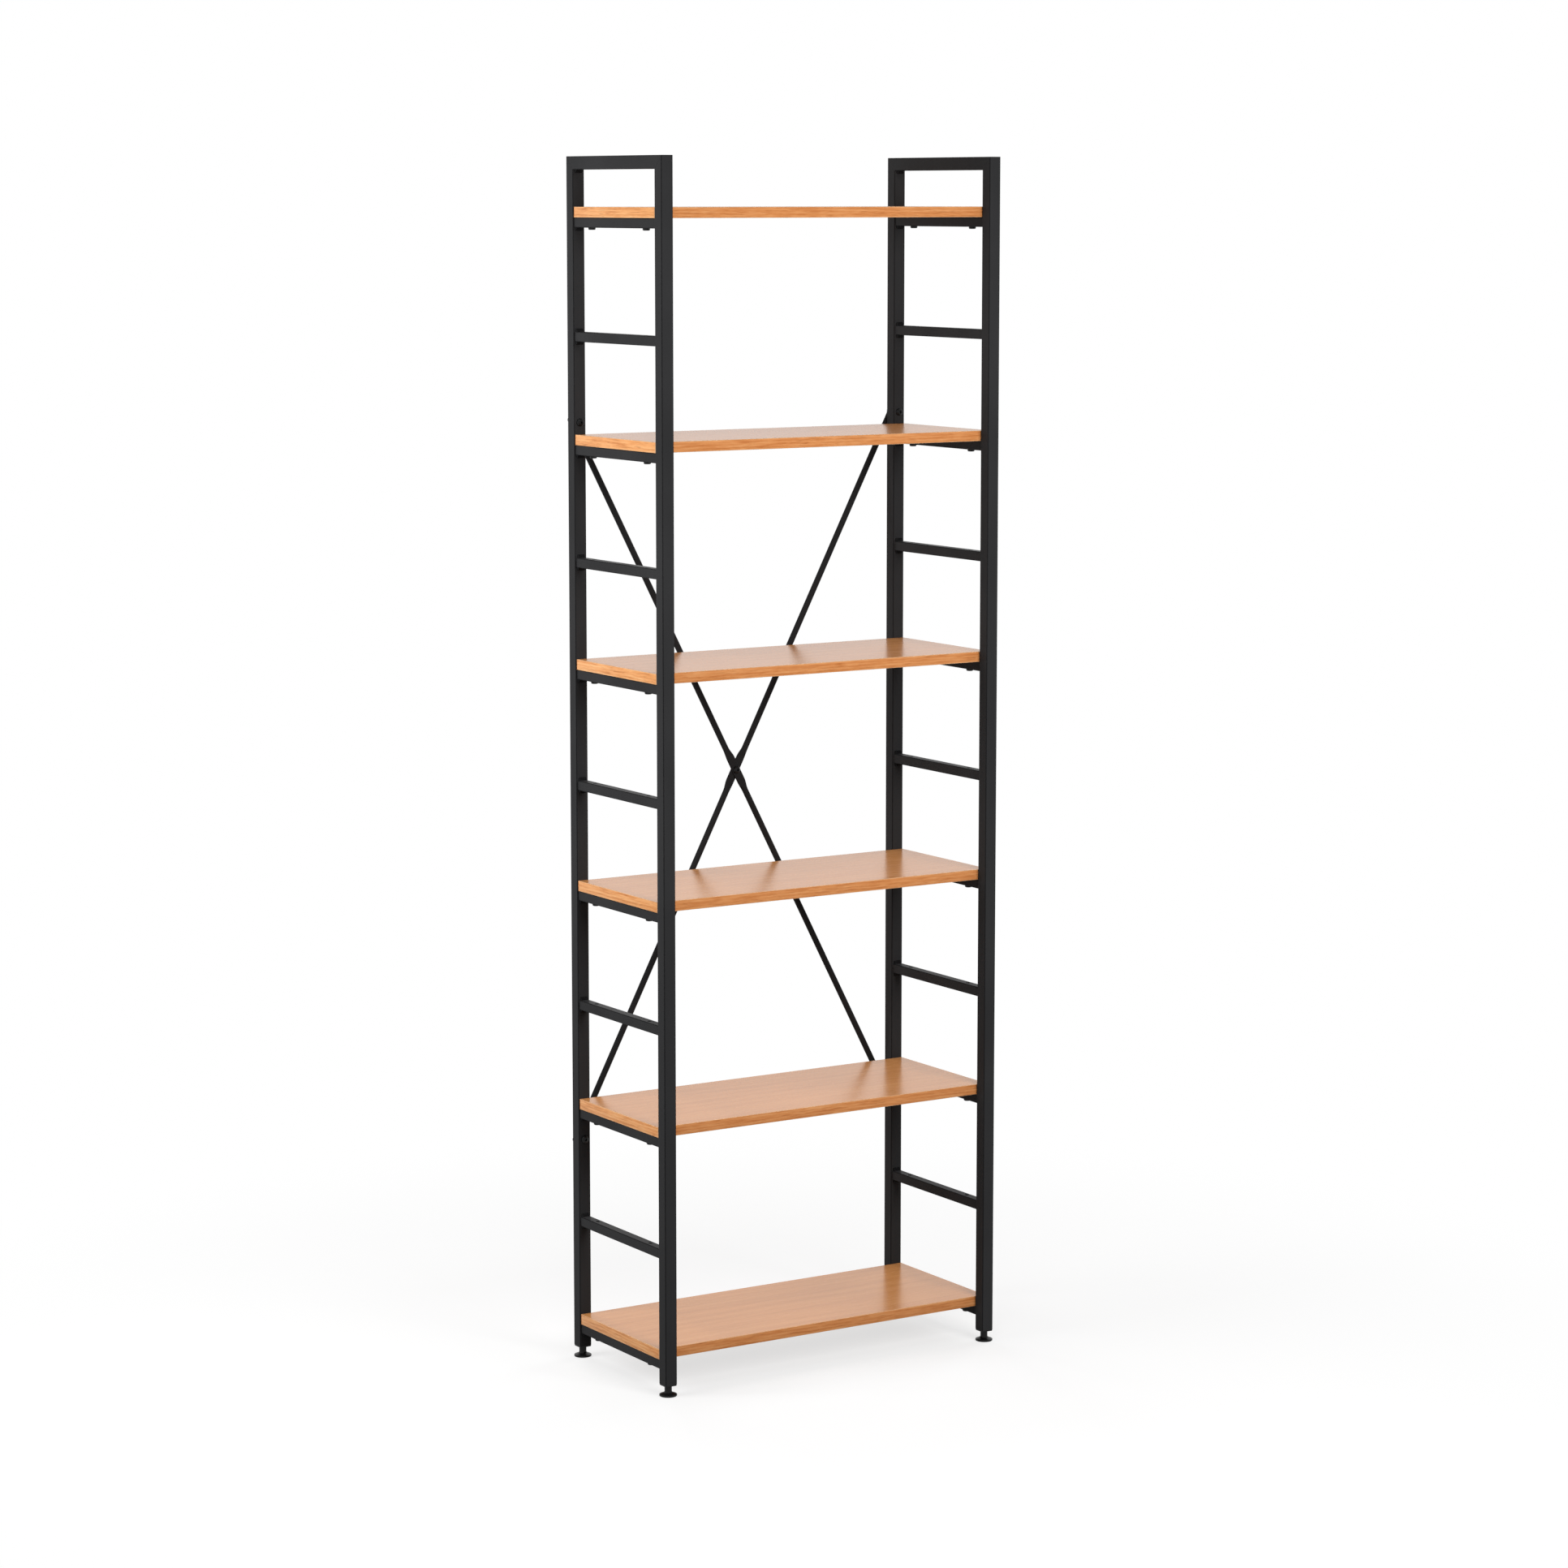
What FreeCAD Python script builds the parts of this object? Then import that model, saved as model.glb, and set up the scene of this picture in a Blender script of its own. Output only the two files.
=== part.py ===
import FreeCAD, Part
import math
import os
import Sketcher

# Open bookcase: a welded steel tube frame, six boards, a crossed back brace and levelling feet.
# Millimetres. X runs to the right, Y to the back, Z up.
# The origin is on the floor, midway between the posts.

SHELF_COUNT = 6
PRESS_STEPS = 4

SIZES = [
    ("width", 600, "over the outer faces of the posts, side to side"),
    ("depth", 280, "over the outer faces of the posts, front to back"),
    ("height", 1850, "floor to the top of the posts"),
    ("post_side", 20, "outer side of the square post tube and of the top rail"),
    ("post_wall", 1.2, "wall of the post tube"),
    ("post_corner", 1.5, "outer corner radius of the post tube"),
    ("rail_side", 15, "outer side of the square cross rail tube"),
    ("rail_wall", 1.2, "wall of the cross rail tube"),
    ("rail_corner", 1.2, "outer corner radius of the cross rail tube"),
    ("hole_span", 160, "between the two screw holes of a cross rail"),
    ("shelf_thick", 16, "thickness of a board"),
    ("shelf_drop", 75, "top of the posts down to the top of the uppermost board"),
    ("shelf_rise", 70, "floor up to the top of the lowest board"),
    ("shelf_gap", 1.0, "between a board and the posts in front and behind"),
    ("shelf_end_gap", 1.0, "ends of a board inside the outer faces of the posts"),
    ("shelf_arris", 0.6, "bevel of a board's edges"),
    ("screw_shank", 5.8, "diameter of a shelf screw"),
    ("screw_bite", 11, "length of a shelf screw inside the board"),
    ("screw_head", 11, "diameter of a shelf screw's pan head"),
    ("screw_head_tall", 3.2, "height of that head"),
    ("screw_head_bevel", 1.6, "bevel of that head"),
    ("screw_board_room", 0.1, "radial room round the screw in the board"),
    ("screw_rail_room", 0.6, "radial room round the screw in the rail"),
    ("screw_tip_room", 1.0, "room past the tip of the screw"),
    ("brace_tube", 9.5, "diameter of the round brace tube"),
    ("brace_wall", 1.0, "wall of the brace tube"),
    ("brace_flat_thick", 3.0, "thickness of the tube where it is pressed flat"),
    ("brace_flat_wide", 14.2, "width of the tube where it is pressed flat"),
    ("brace_end_flat", 26, "flat length from an end bolt towards the middle"),
    ("brace_end_over", 9, "flat length past an end bolt"),
    ("brace_end_clip", 3, "clipped corners of a brace end"),
    ("brace_cross_flat", 40, "flat length where the bars cross"),
    ("brace_blend", 18, "length over which flat turns round"),
    ("brace_over_shelf", 18, "upper end bolts above the top of the second board"),
    ("brace_under_shelf", 65, "lower end bolts below the top of the last but one board"),
    ("bolt_shank", 6, "diameter of the brace bolts"),
    ("bolt_head", 12, "diameter of a brace bolt's button head"),
    ("bolt_head_tall", 3.8, "height of that head"),
    ("bolt_head_bevel", 1.4, "step of the two bevels that round that head"),
    ("bolt_room", 0.25, "radial room round a brace bolt"),
    ("bolt_stick", 1.2, "length of a bolt past its nut"),
    ("nut_flats", 10, "across the flats of a brace nut"),
    ("nut_tall", 5, "height of the nut on an end bolt"),
    ("nut_thin", 3.6, "height of the nut at the crossing"),
    ("nut_room", 0.1, "radial room round the bolt in a nut"),
    ("foot_tall", 16, "floor to the underside of the post's insert"),
    ("foot_disc", 27, "diameter of a foot's base"),
    ("foot_rim", 3.2, "height of the base at its rim"),
    ("foot_rim_bevel", 1.0, "bevels of that rim"),
    ("foot_dome", 4.4, "height of the base where the flare to the hub begins"),
    ("foot_flare", 3.0, "radius of the flare between the base and the hub"),
    ("foot_hub", 11.2, "diameter of the foot's hub"),
    ("foot_gap", 0.3, "between the hub and the insert when the foot is screwed in"),
    ("foot_floor", 2.4, "solid floor of the base under the stud"),
    ("stud_size", 8, "diameter of the foot's threaded stud"),
    ("stud_reach", 30, "length of the stud inside the insert"),
    ("stud_collar_lip", 1.0, "step of the collar that holds the stud in the base"),
    ("stud_collar_tall", 2.0, "height of that collar"),
    ("stud_room", 0.05, "radial running clearance round the stud"),
    ("collar_room", 0.1, "room above and below the collar"),
    ("insert_flange", 2.0, "flange of the insert under the post"),
    ("insert_flange_set", 0.3, "flange edge inside the post's faces"),
    ("insert_plug", 26, "length of the insert inside the post"),
    ("insert_room", 0.1, "between the insert and the inside of the post"),
]

doc = FreeCAD.newDocument("bookcase")
sheet = doc.addObject("Spreadsheet::Sheet", "sizes")
for row, (alias, number, meaning) in enumerate(SIZES, 1):
    sheet.set(f"A{row}", meaning)
    sheet.set(f"B{row}", str(number))
    sheet.setAlias(f"B{row}", alias)
doc.recompute()

# Places that several pieces share, as expressions on the sheet.
POST_X = "(sizes.width - sizes.post_side) / 2"
POST_Y = "(sizes.depth - sizes.post_side) / 2"
POST_FOOT = "(sizes.foot_tall + sizes.insert_flange)"
POST_LONG = f"(sizes.height - {POST_FOOT})"
RAIL_LONG = "(sizes.depth - 2 * sizes.post_side)"
SHELF_STEP = f"((sizes.height - sizes.shelf_drop - sizes.shelf_rise) / {SHELF_COUNT - 1})"
BRACE_TOP = f"(sizes.height - sizes.shelf_drop - {SHELF_STEP} + sizes.brace_over_shelf)"
BRACE_BOTTOM = f"(sizes.shelf_rise + {SHELF_STEP} - sizes.brace_under_shelf)"
BRACE_RUN = "(sizes.width - sizes.post_side)"
BRACE_RISE = f"({BRACE_TOP} - {BRACE_BOTTOM})"
BRACE_HALF = f"(hypot({BRACE_RUN}; {BRACE_RISE}) / 2)"
BRACE_AXIS_Y = "(sizes.depth / 2 + sizes.brace_tube / 2)"
SCREW_HOLE = "(sizes.screw_shank + 2 * sizes.screw_rail_room)"
BOLT_HOLE = "(sizes.bolt_shank + 2 * sizes.bolt_room)"
STUD_BORE = "(sizes.stud_size + 2 * sizes.stud_room)"
COLLAR_R = "(sizes.stud_size / 2 + sizes.stud_collar_lip)"
COLLAR_FOOT = "(sizes.foot_floor + sizes.collar_room)"
HUB_TOP = "(sizes.foot_tall - sizes.foot_gap)"

nodes = []


def number_of(expression):
    """The present value of an expression on the sheet."""
    return float(sheet.evalExpression(str(expression)))


def shelf_top(level):
    """Height of the top of a board, counted from the uppermost, as an expression."""
    return f"(sizes.height - sizes.shelf_drop - {level} * {SHELF_STEP})"


def bind(item, **ties):
    """Ties properties to the sheet; a double underscore in a name stands for a dot."""
    for name, expression in ties.items():
        item.setExpression(name.replace("__", "."), str(expression))


def new_body(label, x="0", y="0", z="0", turn=None):
    """A piece of the bookcase at its place, with an optional turn as (axis, angle)."""
    body = doc.addObject("PartDesign::Body", label)
    body.Label = label
    if turn:
        axis, angle = turn
        body.Placement.Rotation = FreeCAD.Rotation(FreeCAD.Vector(*axis), number_of(angle))
        bind(body, Placement__Rotation__Angle=angle)
    bind(body, Placement__Base__x=x, Placement__Base__y=y, Placement__Base__z=z)
    nodes.append(body)
    return body


def origin_part(body, role):
    """An origin plane or axis of the body, by its role."""
    return next(item for item in body.Origin.OriginFeatures if item.Role == role)


def new_sketch(body, plane, lift="0"):
    """A sketch on an origin plane of the body, lifted along the plane's normal."""
    sketch = body.newObject("Sketcher::SketchObject", f"{body.Label}_sketch")
    sketch.AttachmentSupport = (origin_part(body, plane), [""])
    sketch.MapMode = "FlatFace"
    bind(sketch, AttachmentOffset__Base__z=lift)
    return sketch


def fix_along(sketch, kind, geometry, point, expression):
    """Ties a point's distance from the sketch's origin, along one axis, to the sheet."""
    distance = number_of(expression)
    axis = {"DistanceX": -2, "DistanceY": -1}[kind]
    if abs(distance) < 1e-9:
        sketch.addConstraint(Sketcher.Constraint("PointOnObject", geometry, point, axis))
        return
    if distance > 0:
        constraint = Sketcher.Constraint(kind, -1, 1, geometry, point, distance)
    else:
        constraint = Sketcher.Constraint(kind, geometry, point, -1, 1, -distance)
        expression = f"-({expression})"
    index = sketch.addConstraint(constraint)
    sketch.setExpression(f"Constraints[{index}]", expression)


def fix_point(sketch, geometry, point, x, y):
    """Ties a point of a sketch to the sheet in both directions."""
    fix_along(sketch, "DistanceX", geometry, point, x)
    fix_along(sketch, "DistanceY", geometry, point, y)


def draw_outline(sketch, corners):
    """Draws a closed outline of straight sides through corners given as expressions."""
    points = [FreeCAD.Vector(number_of(x), number_of(y), 0) for x, y in corners]
    sides = []
    for start, end in zip(points, points[1:] + points[:1]):
        sides.append(sketch.addGeometry(Part.LineSegment(start, end)))
    for side, following in zip(sides, sides[1:] + sides[:1]):
        sketch.addConstraint(Sketcher.Constraint("Coincident", side, 2, following, 1))
    for side, (x, y) in zip(sides, corners):
        fix_point(sketch, side, 1, x, y)


def draw_rectangle(sketch, wide, high):
    """Draws a rectangle centred on the sketch's origin."""
    half_wide = f"({wide}) / 2"
    half_high = f"({high}) / 2"
    draw_outline(sketch, [
        (f"-{half_wide}", f"-{half_high}"),
        (half_wide, f"-{half_high}"),
        (half_wide, half_high),
        (f"-{half_wide}", half_high),
    ])


def draw_circle(sketch, diameter, x="0", y="0"):
    """Draws a circle at a place given as expressions."""
    centre = FreeCAD.Vector(number_of(x), number_of(y), 0)
    radius = number_of(diameter) / 2
    circle = sketch.addGeometry(Part.Circle(centre, FreeCAD.Vector(0, 0, 1), radius))
    fix_point(sketch, circle, 3, x, y)
    index = sketch.addConstraint(Sketcher.Constraint("Diameter", circle, 2 * radius))
    sketch.setExpression(f"Constraints[{index}]", diameter)


def draw_ring(sketch, diameter):
    """Draws a circle as two long and two short arcs, to be lofted to the ends and faces of a slot."""
    centre = FreeCAD.Vector(0, 0, 0)
    circle = Part.Circle(centre, FreeCAD.Vector(0, 0, 1), number_of(diameter) / 2)
    side = 80
    breaks = [math.radians(angle) for angle in (-side, side, 180 - side, 180 + side, 360 - side)]
    arcs = [sketch.addGeometry(Part.ArcOfCircle(circle, *ends)) for ends in zip(breaks, breaks[1:])]
    for arc in arcs:
        sketch.addConstraint(Sketcher.Constraint("Coincident", arc, 3, -1, 1))
    for arc, following in zip(arcs, arcs[1:]):
        sketch.addConstraint(Sketcher.Constraint("Coincident", arc, 2, following, 1))
    index = sketch.addConstraint(Sketcher.Constraint("Diameter", arcs[0], number_of(diameter)))
    sketch.setExpression(f"Constraints[{index}]", diameter)
    across = f"{diameter} / 2 * cos({side} deg)"
    fix_along(sketch, "DistanceX", arcs[0], 1, across)
    for arc, sign in zip(arcs, ("", "-", "-", "")):
        fix_along(sketch, "DistanceX", arc, 2, f"{sign}{across}")


def draw_slot(sketch, wide, thick, shift):
    """Draws the section of a flattened tube: two flat faces joined by half rounds."""
    radius = number_of(thick) / 2
    reach = f"({wide} - {thick}) / 2"
    far = number_of(reach)
    middle = number_of(shift)
    upward = FreeCAD.Vector(0, 0, 1)
    right = FreeCAD.Vector(far, middle, 0)
    left = FreeCAD.Vector(-far, middle, 0)
    rise = FreeCAD.Vector(0, radius, 0)
    quarter = math.radians(90)
    pieces = [
        Part.ArcOfCircle(Part.Circle(right, upward, radius), -quarter, quarter),
        Part.LineSegment(right + rise, left + rise),
        Part.ArcOfCircle(Part.Circle(left, upward, radius), quarter, 3 * quarter),
        Part.LineSegment(left - rise, right - rise),
    ]
    sides = [sketch.addGeometry(piece) for piece in pieces]
    for side, following in zip(sides, sides[1:] + sides[:1]):
        sketch.addConstraint(Sketcher.Constraint("Tangent", side, 2, following, 1))
    sketch.addConstraint(Sketcher.Constraint("Horizontal", sides[1]))
    sketch.addConstraint(Sketcher.Constraint("Horizontal", sides[3]))
    index = sketch.addConstraint(Sketcher.Constraint("Radius", sides[0], radius))
    sketch.setExpression(f"Constraints[{index}]", f"{thick} / 2")
    fix_point(sketch, sides[0], 3, reach, shift)
    fix_along(sketch, "DistanceX", sides[2], 3, f"-({reach})")


def pad(body, sketch, length, both_ways=False, backwards=False):
    """Extrudes a sketch along its normal, or evenly to both sides of it."""
    feature = body.newObject("PartDesign::Pad", f"{body.Label}_pad")
    feature.Profile = sketch
    feature.SideType = "Symmetric" if both_ways else "One side"
    feature.Reversed = backwards
    bind(feature, Length=length)
    doc.recompute()
    return feature


def cut_through(body, sketch):
    """Cuts a sketch right through the body, to both sides."""
    feature = body.newObject("PartDesign::Pocket", f"{body.Label}_cut")
    feature.Profile = sketch
    feature.SideType = "Symmetric"
    feature.Type = "ThroughAll"
    doc.recompute()
    return feature


def cut_deep(body, sketch, deep, along_normal):
    """Cuts a sketch to a depth, along its normal or against it."""
    feature = body.newObject("PartDesign::Pocket", f"{body.Label}_recess")
    feature.Profile = sketch
    feature.Reversed = along_normal
    bind(feature, Length=deep)
    doc.recompute()
    return feature


def revolve(body, sketch):
    """Turns a half profile once round the sketch's upright axis."""
    feature = body.newObject("PartDesign::Revolution", f"{body.Label}_turning")
    feature.Profile = sketch
    feature.ReferenceAxis = (sketch, ["V_Axis"])
    doc.recompute()
    return feature


def round_edges(body, base, radius, wanted):
    """Rounds the edges of a feature that the test picks."""
    names = [f"Edge{n}" for n, edge in enumerate(base.Shape.Edges, 1) if wanted(edge)]
    feature = body.newObject("PartDesign::Fillet", f"{body.Label}_round")
    feature.Base = (base, names)
    bind(feature, Radius=radius)
    doc.recompute()
    return feature


def repeat(body, feature, first, first_length, second, second_length):
    """Copies a feature to the other three corners of a rectangle."""
    pattern = body.newObject("PartDesign::LinearPattern", f"{body.Label}_pattern")
    pattern.Originals = [feature]
    pattern.Direction = (origin_part(body, first), [""])
    pattern.Direction2 = (origin_part(body, second), [""])
    pattern.Occurrences = 2
    pattern.Occurrences2 = 2
    bind(pattern, Length=first_length, Length2=second_length)
    body.Tip = pattern
    doc.recompute()
    return pattern


def square_tube(body, plane, stock, length, both_ways):
    """A square tube of post or rail stock, extruded from an origin plane."""
    side = f"sizes.{stock}_side"
    inside = f"({side} - 2 * sizes.{stock}_wall)"
    section = new_sketch(body, plane)
    draw_rectangle(section, side, side)
    draw_rectangle(section, inside, inside)
    walls = pad(body, section, length, both_ways)
    along = FreeCAD.Vector(0, 0, 1) if plane == "XY_Plane" else FreeCAD.Vector(0, 1, 0)
    reach = number_of(side) / 2 ** 0.5

    def outer_corner(edge):
        line = edge.Vertexes[1].Point - edge.Vertexes[0].Point
        middle = edge.CenterOfMass
        across = middle - along * middle.dot(along)
        return line.cross(along).Length < 1e-6 and abs(across.Length - reach) < 1e-6

    round_edges(body, walls, f"sizes.{stock}_corner", outer_corner)


def make_post(label, x, y, turned, braced):
    """A post, mitred at the top; a rear post also has the holes for the brace bolts."""
    turn = ((0, 0, 1), "180" if turned else "0")
    body = new_body(label, x, y, POST_FOOT, turn)
    square_tube(body, "XY_Plane", "post", POST_LONG, False)
    mitre = new_sketch(body, "YZ_Plane")
    above = f"({POST_LONG} + sizes.post_side / 2)"
    draw_outline(mitre, [
        ("-sizes.post_side", above),
        ("sizes.post_side", f"{above} - 2 * sizes.post_side"),
        ("sizes.post_side", above),
    ])
    cut_through(body, mitre)
    if braced:
        holes = new_sketch(body, "XZ_Plane")
        for level in (BRACE_TOP, BRACE_BOTTOM):
            draw_circle(holes, BOLT_HOLE, "0", f"{level} - {POST_FOOT}")
        cut_through(body, holes)


def make_top_rail(label, x):
    """The rail over one side, mitred to the front and rear posts."""
    body = new_body(label, x, "0", "sizes.height - sizes.post_side / 2")
    square_tube(body, "XZ_Plane", "post", "sizes.depth", True)
    mitres = new_sketch(body, "YZ_Plane")
    outer = "(sizes.depth + sizes.post_side) / 2"
    inner = "(sizes.depth - 3 * sizes.post_side) / 2"
    for sign in ("-", ""):
        draw_outline(mitres, [
            (f"{sign}{outer}", "sizes.post_side"),
            (f"{sign}{inner}", "-sizes.post_side"),
            (f"{sign}{outer}", "-sizes.post_side"),
        ])
    cut_through(body, mitres)


def make_cross_rail(label, x, top):
    """A rail between the front and rear posts of one side, with two screw holes."""
    body = new_body(label, x, "0", f"{top} - sizes.rail_side / 2")
    square_tube(body, "XZ_Plane", "rail", RAIL_LONG, True)
    holes = new_sketch(body, "XY_Plane")
    for sign in ("-", ""):
        draw_circle(holes, SCREW_HOLE, "0", f"{sign}sizes.hole_span / 2")
    cut_through(body, holes)


def make_shelf(label, level):
    """A board between the posts, with four blind screw holes in its underside."""
    body = new_body(label, z=f"{shelf_top(level)} - sizes.shelf_thick")
    outline = new_sketch(body, "XY_Plane")
    draw_rectangle(outline, "sizes.width - 2 * sizes.shelf_end_gap", f"{RAIL_LONG} - 2 * sizes.shelf_gap")
    board = pad(body, outline, "sizes.shelf_thick")
    bevel = body.newObject("PartDesign::Chamfer", f"{label}_bevel")
    bevel.Base = (board, [f"Edge{n}" for n in range(1, len(board.Shape.Edges) + 1)])
    bind(bevel, Size="sizes.shelf_arris")
    doc.recompute()
    holes = new_sketch(body, "XY_Plane")
    for x in (f"-{POST_X}", POST_X):
        for y in ("-sizes.hole_span / 2", "sizes.hole_span / 2"):
            draw_circle(holes, "sizes.screw_shank + 2 * sizes.screw_board_room", x, y)
    cut_deep(body, holes, "sizes.screw_bite + sizes.screw_tip_room", True)


def make_shelf_screws(label, level):
    """The four pan head screws that come up through the rails into a board."""
    under = f"{shelf_top(level)} - sizes.shelf_thick - sizes.rail_side"
    body = new_body(label, f"-{POST_X}", "-sizes.hole_span / 2", under)
    profile = new_sketch(body, "XZ_Plane")
    tip = "sizes.rail_side + sizes.screw_bite"
    draw_outline(profile, [
        ("0", "-sizes.screw_head_tall"),
        ("sizes.screw_head / 2 - sizes.screw_head_bevel", "-sizes.screw_head_tall"),
        ("sizes.screw_head / 2", "sizes.screw_head_bevel - sizes.screw_head_tall"),
        ("sizes.screw_head / 2", "0"),
        ("sizes.screw_shank / 2", "0"),
        ("sizes.screw_shank / 2", tip),
        ("0", tip),
    ])
    screw = revolve(body, profile)
    repeat(body, screw, "X_Axis", f"2 * {POST_X}", "Y_Axis", "sizes.hole_span")


def press_tube(start, end, shift):
    """Stations over which the round tube at the start is pressed flat, as (height, share pressed, shift)."""
    stations = []
    for step in range(PRESS_STEPS + 1):
        way = step / PRESS_STEPS
        share = way * way * (3 - 2 * way)
        stations.append((f"({start} + {way} * ({end} - {start}))", share, shift))
    return stations


def make_brace(label, leans_left, cross_shift):
    """A round tube bar, pressed flat at its ends and where it crosses the other bar.

    The end flats stay flush with the tube's front, so that they lie on the posts. The
    flat at the crossing is set to one side of the tube's axis, so that the bars pass.
    """
    turn = ((0, -1 if leans_left else 1, 0), f"atan({BRACE_RUN} / {BRACE_RISE})")
    middle = f"({BRACE_TOP} + {BRACE_BOTTOM}) / 2"
    body = new_body(label, "0", BRACE_AXIS_Y, middle, turn)
    tip = f"({BRACE_HALF} + sizes.brace_end_over)"
    end_flat = f"({BRACE_HALF} - sizes.brace_end_flat)"
    end_round = f"({end_flat} - sizes.brace_blend)"
    cross_flat = "(sizes.brace_cross_flat / 2)"
    cross_round = f"({cross_flat} + sizes.brace_blend)"
    end_shift = "-(sizes.brace_tube - sizes.brace_flat_thick) / 2"
    half = press_tube(cross_round, cross_flat, cross_shift)[::-1] + press_tube(end_round, end_flat, end_shift)
    half.append((tip, 1, end_shift))
    stations = [(f"-{lift}", share, shift) for lift, share, shift in reversed(half)] + half
    sections = []
    for lift, share, shift in stations:
        section = new_sketch(body, "XY_Plane", lift)
        if share == 0:
            draw_ring(section, "sizes.brace_tube")
        else:
            wide = f"(sizes.brace_tube + {share} * (sizes.brace_flat_wide - sizes.brace_tube))"
            thick = f"(sizes.brace_tube + {share} * (sizes.brace_flat_thick - sizes.brace_tube))"
            draw_slot(section, wide, thick, f"{share} * ({shift})")
        sections.append(section)
    doc.recompute()
    loft = body.newObject("PartDesign::AdditiveLoft", f"{label}_bar")
    loft.Profile = sections[0]
    loft.Sections = [(section, [""]) for section in sections[1:]]
    loft.Ruled = True
    doc.recompute()
    for sign, upward in (("", True), ("-", False)):
        bore = new_sketch(body, "XY_Plane", f"{sign}{cross_round}")
        draw_circle(bore, "sizes.brace_tube - 2 * sizes.brace_wall")
        cut_deep(body, bore, f"{end_round} - {cross_round}", upward)
    holes = new_sketch(body, "XZ_Plane")
    for height in (f"-{BRACE_HALF}", "0", BRACE_HALF):
        draw_circle(holes, BOLT_HOLE, "0", height)
    cut_through(body, holes)
    clips = new_sketch(body, "XZ_Plane")
    edge = "sizes.brace_flat_wide / 2"
    for side in ("-", ""):
        for end in ("-", ""):
            draw_outline(clips, [
                (f"{side}({edge} - 2 * sizes.brace_end_clip)", f"{end}({tip} + sizes.brace_end_clip)"),
                (f"{side}({edge} + sizes.brace_end_clip)", f"{end}({tip} - 2 * sizes.brace_end_clip)"),
                (f"{side}({edge} + sizes.brace_end_clip)", f"{end}({tip} + sizes.brace_end_clip)"),
            ])
    cut_through(body, clips)


def make_bolt(body, grip):
    """A button head bolt along Y, its head against the face at the body's origin."""
    profile = new_sketch(body, "XY_Plane")
    rim = "sizes.bolt_head / 2"
    draw_outline(profile, [
        ("0", "-sizes.bolt_head_tall"),
        (f"{rim} - 2 * sizes.bolt_head_bevel", "-sizes.bolt_head_tall"),
        (f"{rim} - 0.6 * sizes.bolt_head_bevel", "0.7 * sizes.bolt_head_bevel - sizes.bolt_head_tall"),
        (rim, "2 * sizes.bolt_head_bevel - sizes.bolt_head_tall"),
        (rim, "0"),
        ("sizes.bolt_shank / 2", "0"),
        ("sizes.bolt_shank / 2", grip),
        ("0", grip),
    ])
    return revolve(body, profile)


def make_nut(body, tall):
    """A hexagon nut along Y, its seat at the body's origin."""
    outline = new_sketch(body, "XZ_Plane")
    half = "sizes.nut_flats / 2"
    short = "sizes.nut_flats / (2 * sqrt(3))"
    long = "sizes.nut_flats / sqrt(3)"
    draw_outline(outline, [
        (half, f"-{short}"), (half, short), ("0", long),
        (f"-{half}", short), (f"-{half}", f"-{short}"), ("0", f"-{long}"),
    ])
    draw_circle(outline, "sizes.bolt_shank + 2 * sizes.nut_room")
    return pad(body, outline, tall, backwards=True)


def make_brace_fixings():
    """Bolts and nuts at the four brace ends and at the crossing."""
    left = f"-{POST_X}"
    seat = "(sizes.post_side + sizes.brace_flat_thick)"
    bolts = new_body("brace_end_bolts", left, "sizes.depth / 2 - sizes.post_side", BRACE_BOTTOM)
    bolt = make_bolt(bolts, f"{seat} + sizes.nut_tall + sizes.bolt_stick")
    repeat(bolts, bolt, "X_Axis", BRACE_RUN, "Z_Axis", BRACE_RISE)
    nuts = new_body("brace_end_nuts", left, "sizes.depth / 2 + sizes.brace_flat_thick", BRACE_BOTTOM)
    nut = make_nut(nuts, "sizes.nut_tall")
    repeat(nuts, nut, "X_Axis", BRACE_RUN, "Z_Axis", BRACE_RISE)
    middle = f"({BRACE_TOP} + {BRACE_BOTTOM}) / 2"
    centre_bolt = new_body("brace_centre_bolt", "0", f"{BRACE_AXIS_Y} - sizes.brace_flat_thick", middle)
    make_bolt(centre_bolt, "2 * sizes.brace_flat_thick + sizes.nut_thin + sizes.bolt_stick")
    centre_nut = new_body("brace_centre_nut", "0", f"{BRACE_AXIS_Y} + sizes.brace_flat_thick", middle)
    make_nut(centre_nut, "sizes.nut_thin")


def make_foot_insert(label, x, y):
    """The threaded insert pressed into the lower end of a post."""
    body = new_body(label, x, y, "sizes.foot_tall")
    flange = new_sketch(body, "XY_Plane")
    flange_side = "sizes.post_side - 2 * sizes.insert_flange_set"
    draw_rectangle(flange, flange_side, flange_side)
    plate = pad(body, flange, "sizes.insert_flange")
    round_edges(body, plate, "sizes.post_corner", lambda edge: edge.BoundBox.ZLength > 1e-6)
    plug = new_sketch(body, "XY_Plane", "sizes.insert_flange")
    plug_side = "sizes.post_side - 2 * sizes.post_wall - 2 * sizes.insert_room"
    draw_rectangle(plug, plug_side, plug_side)
    pad(body, plug, "sizes.insert_plug")
    bore = new_sketch(body, "XY_Plane")
    draw_circle(bore, STUD_BORE)
    cut_through(body, bore)


def make_foot_stud(label, x, y):
    """The stud of a foot, with the collar that holds it in the base."""
    body = new_body(label, x, y)
    profile = new_sketch(body, "XZ_Plane")
    collar_top = f"{COLLAR_FOOT} + sizes.stud_collar_tall"
    tip = "sizes.foot_tall + sizes.stud_reach"
    draw_outline(profile, [
        ("0", COLLAR_FOOT),
        (COLLAR_R, COLLAR_FOOT),
        (COLLAR_R, collar_top),
        ("sizes.stud_size / 2", collar_top),
        ("sizes.stud_size / 2", tip),
        ("0", tip),
    ])
    revolve(body, profile)


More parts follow.
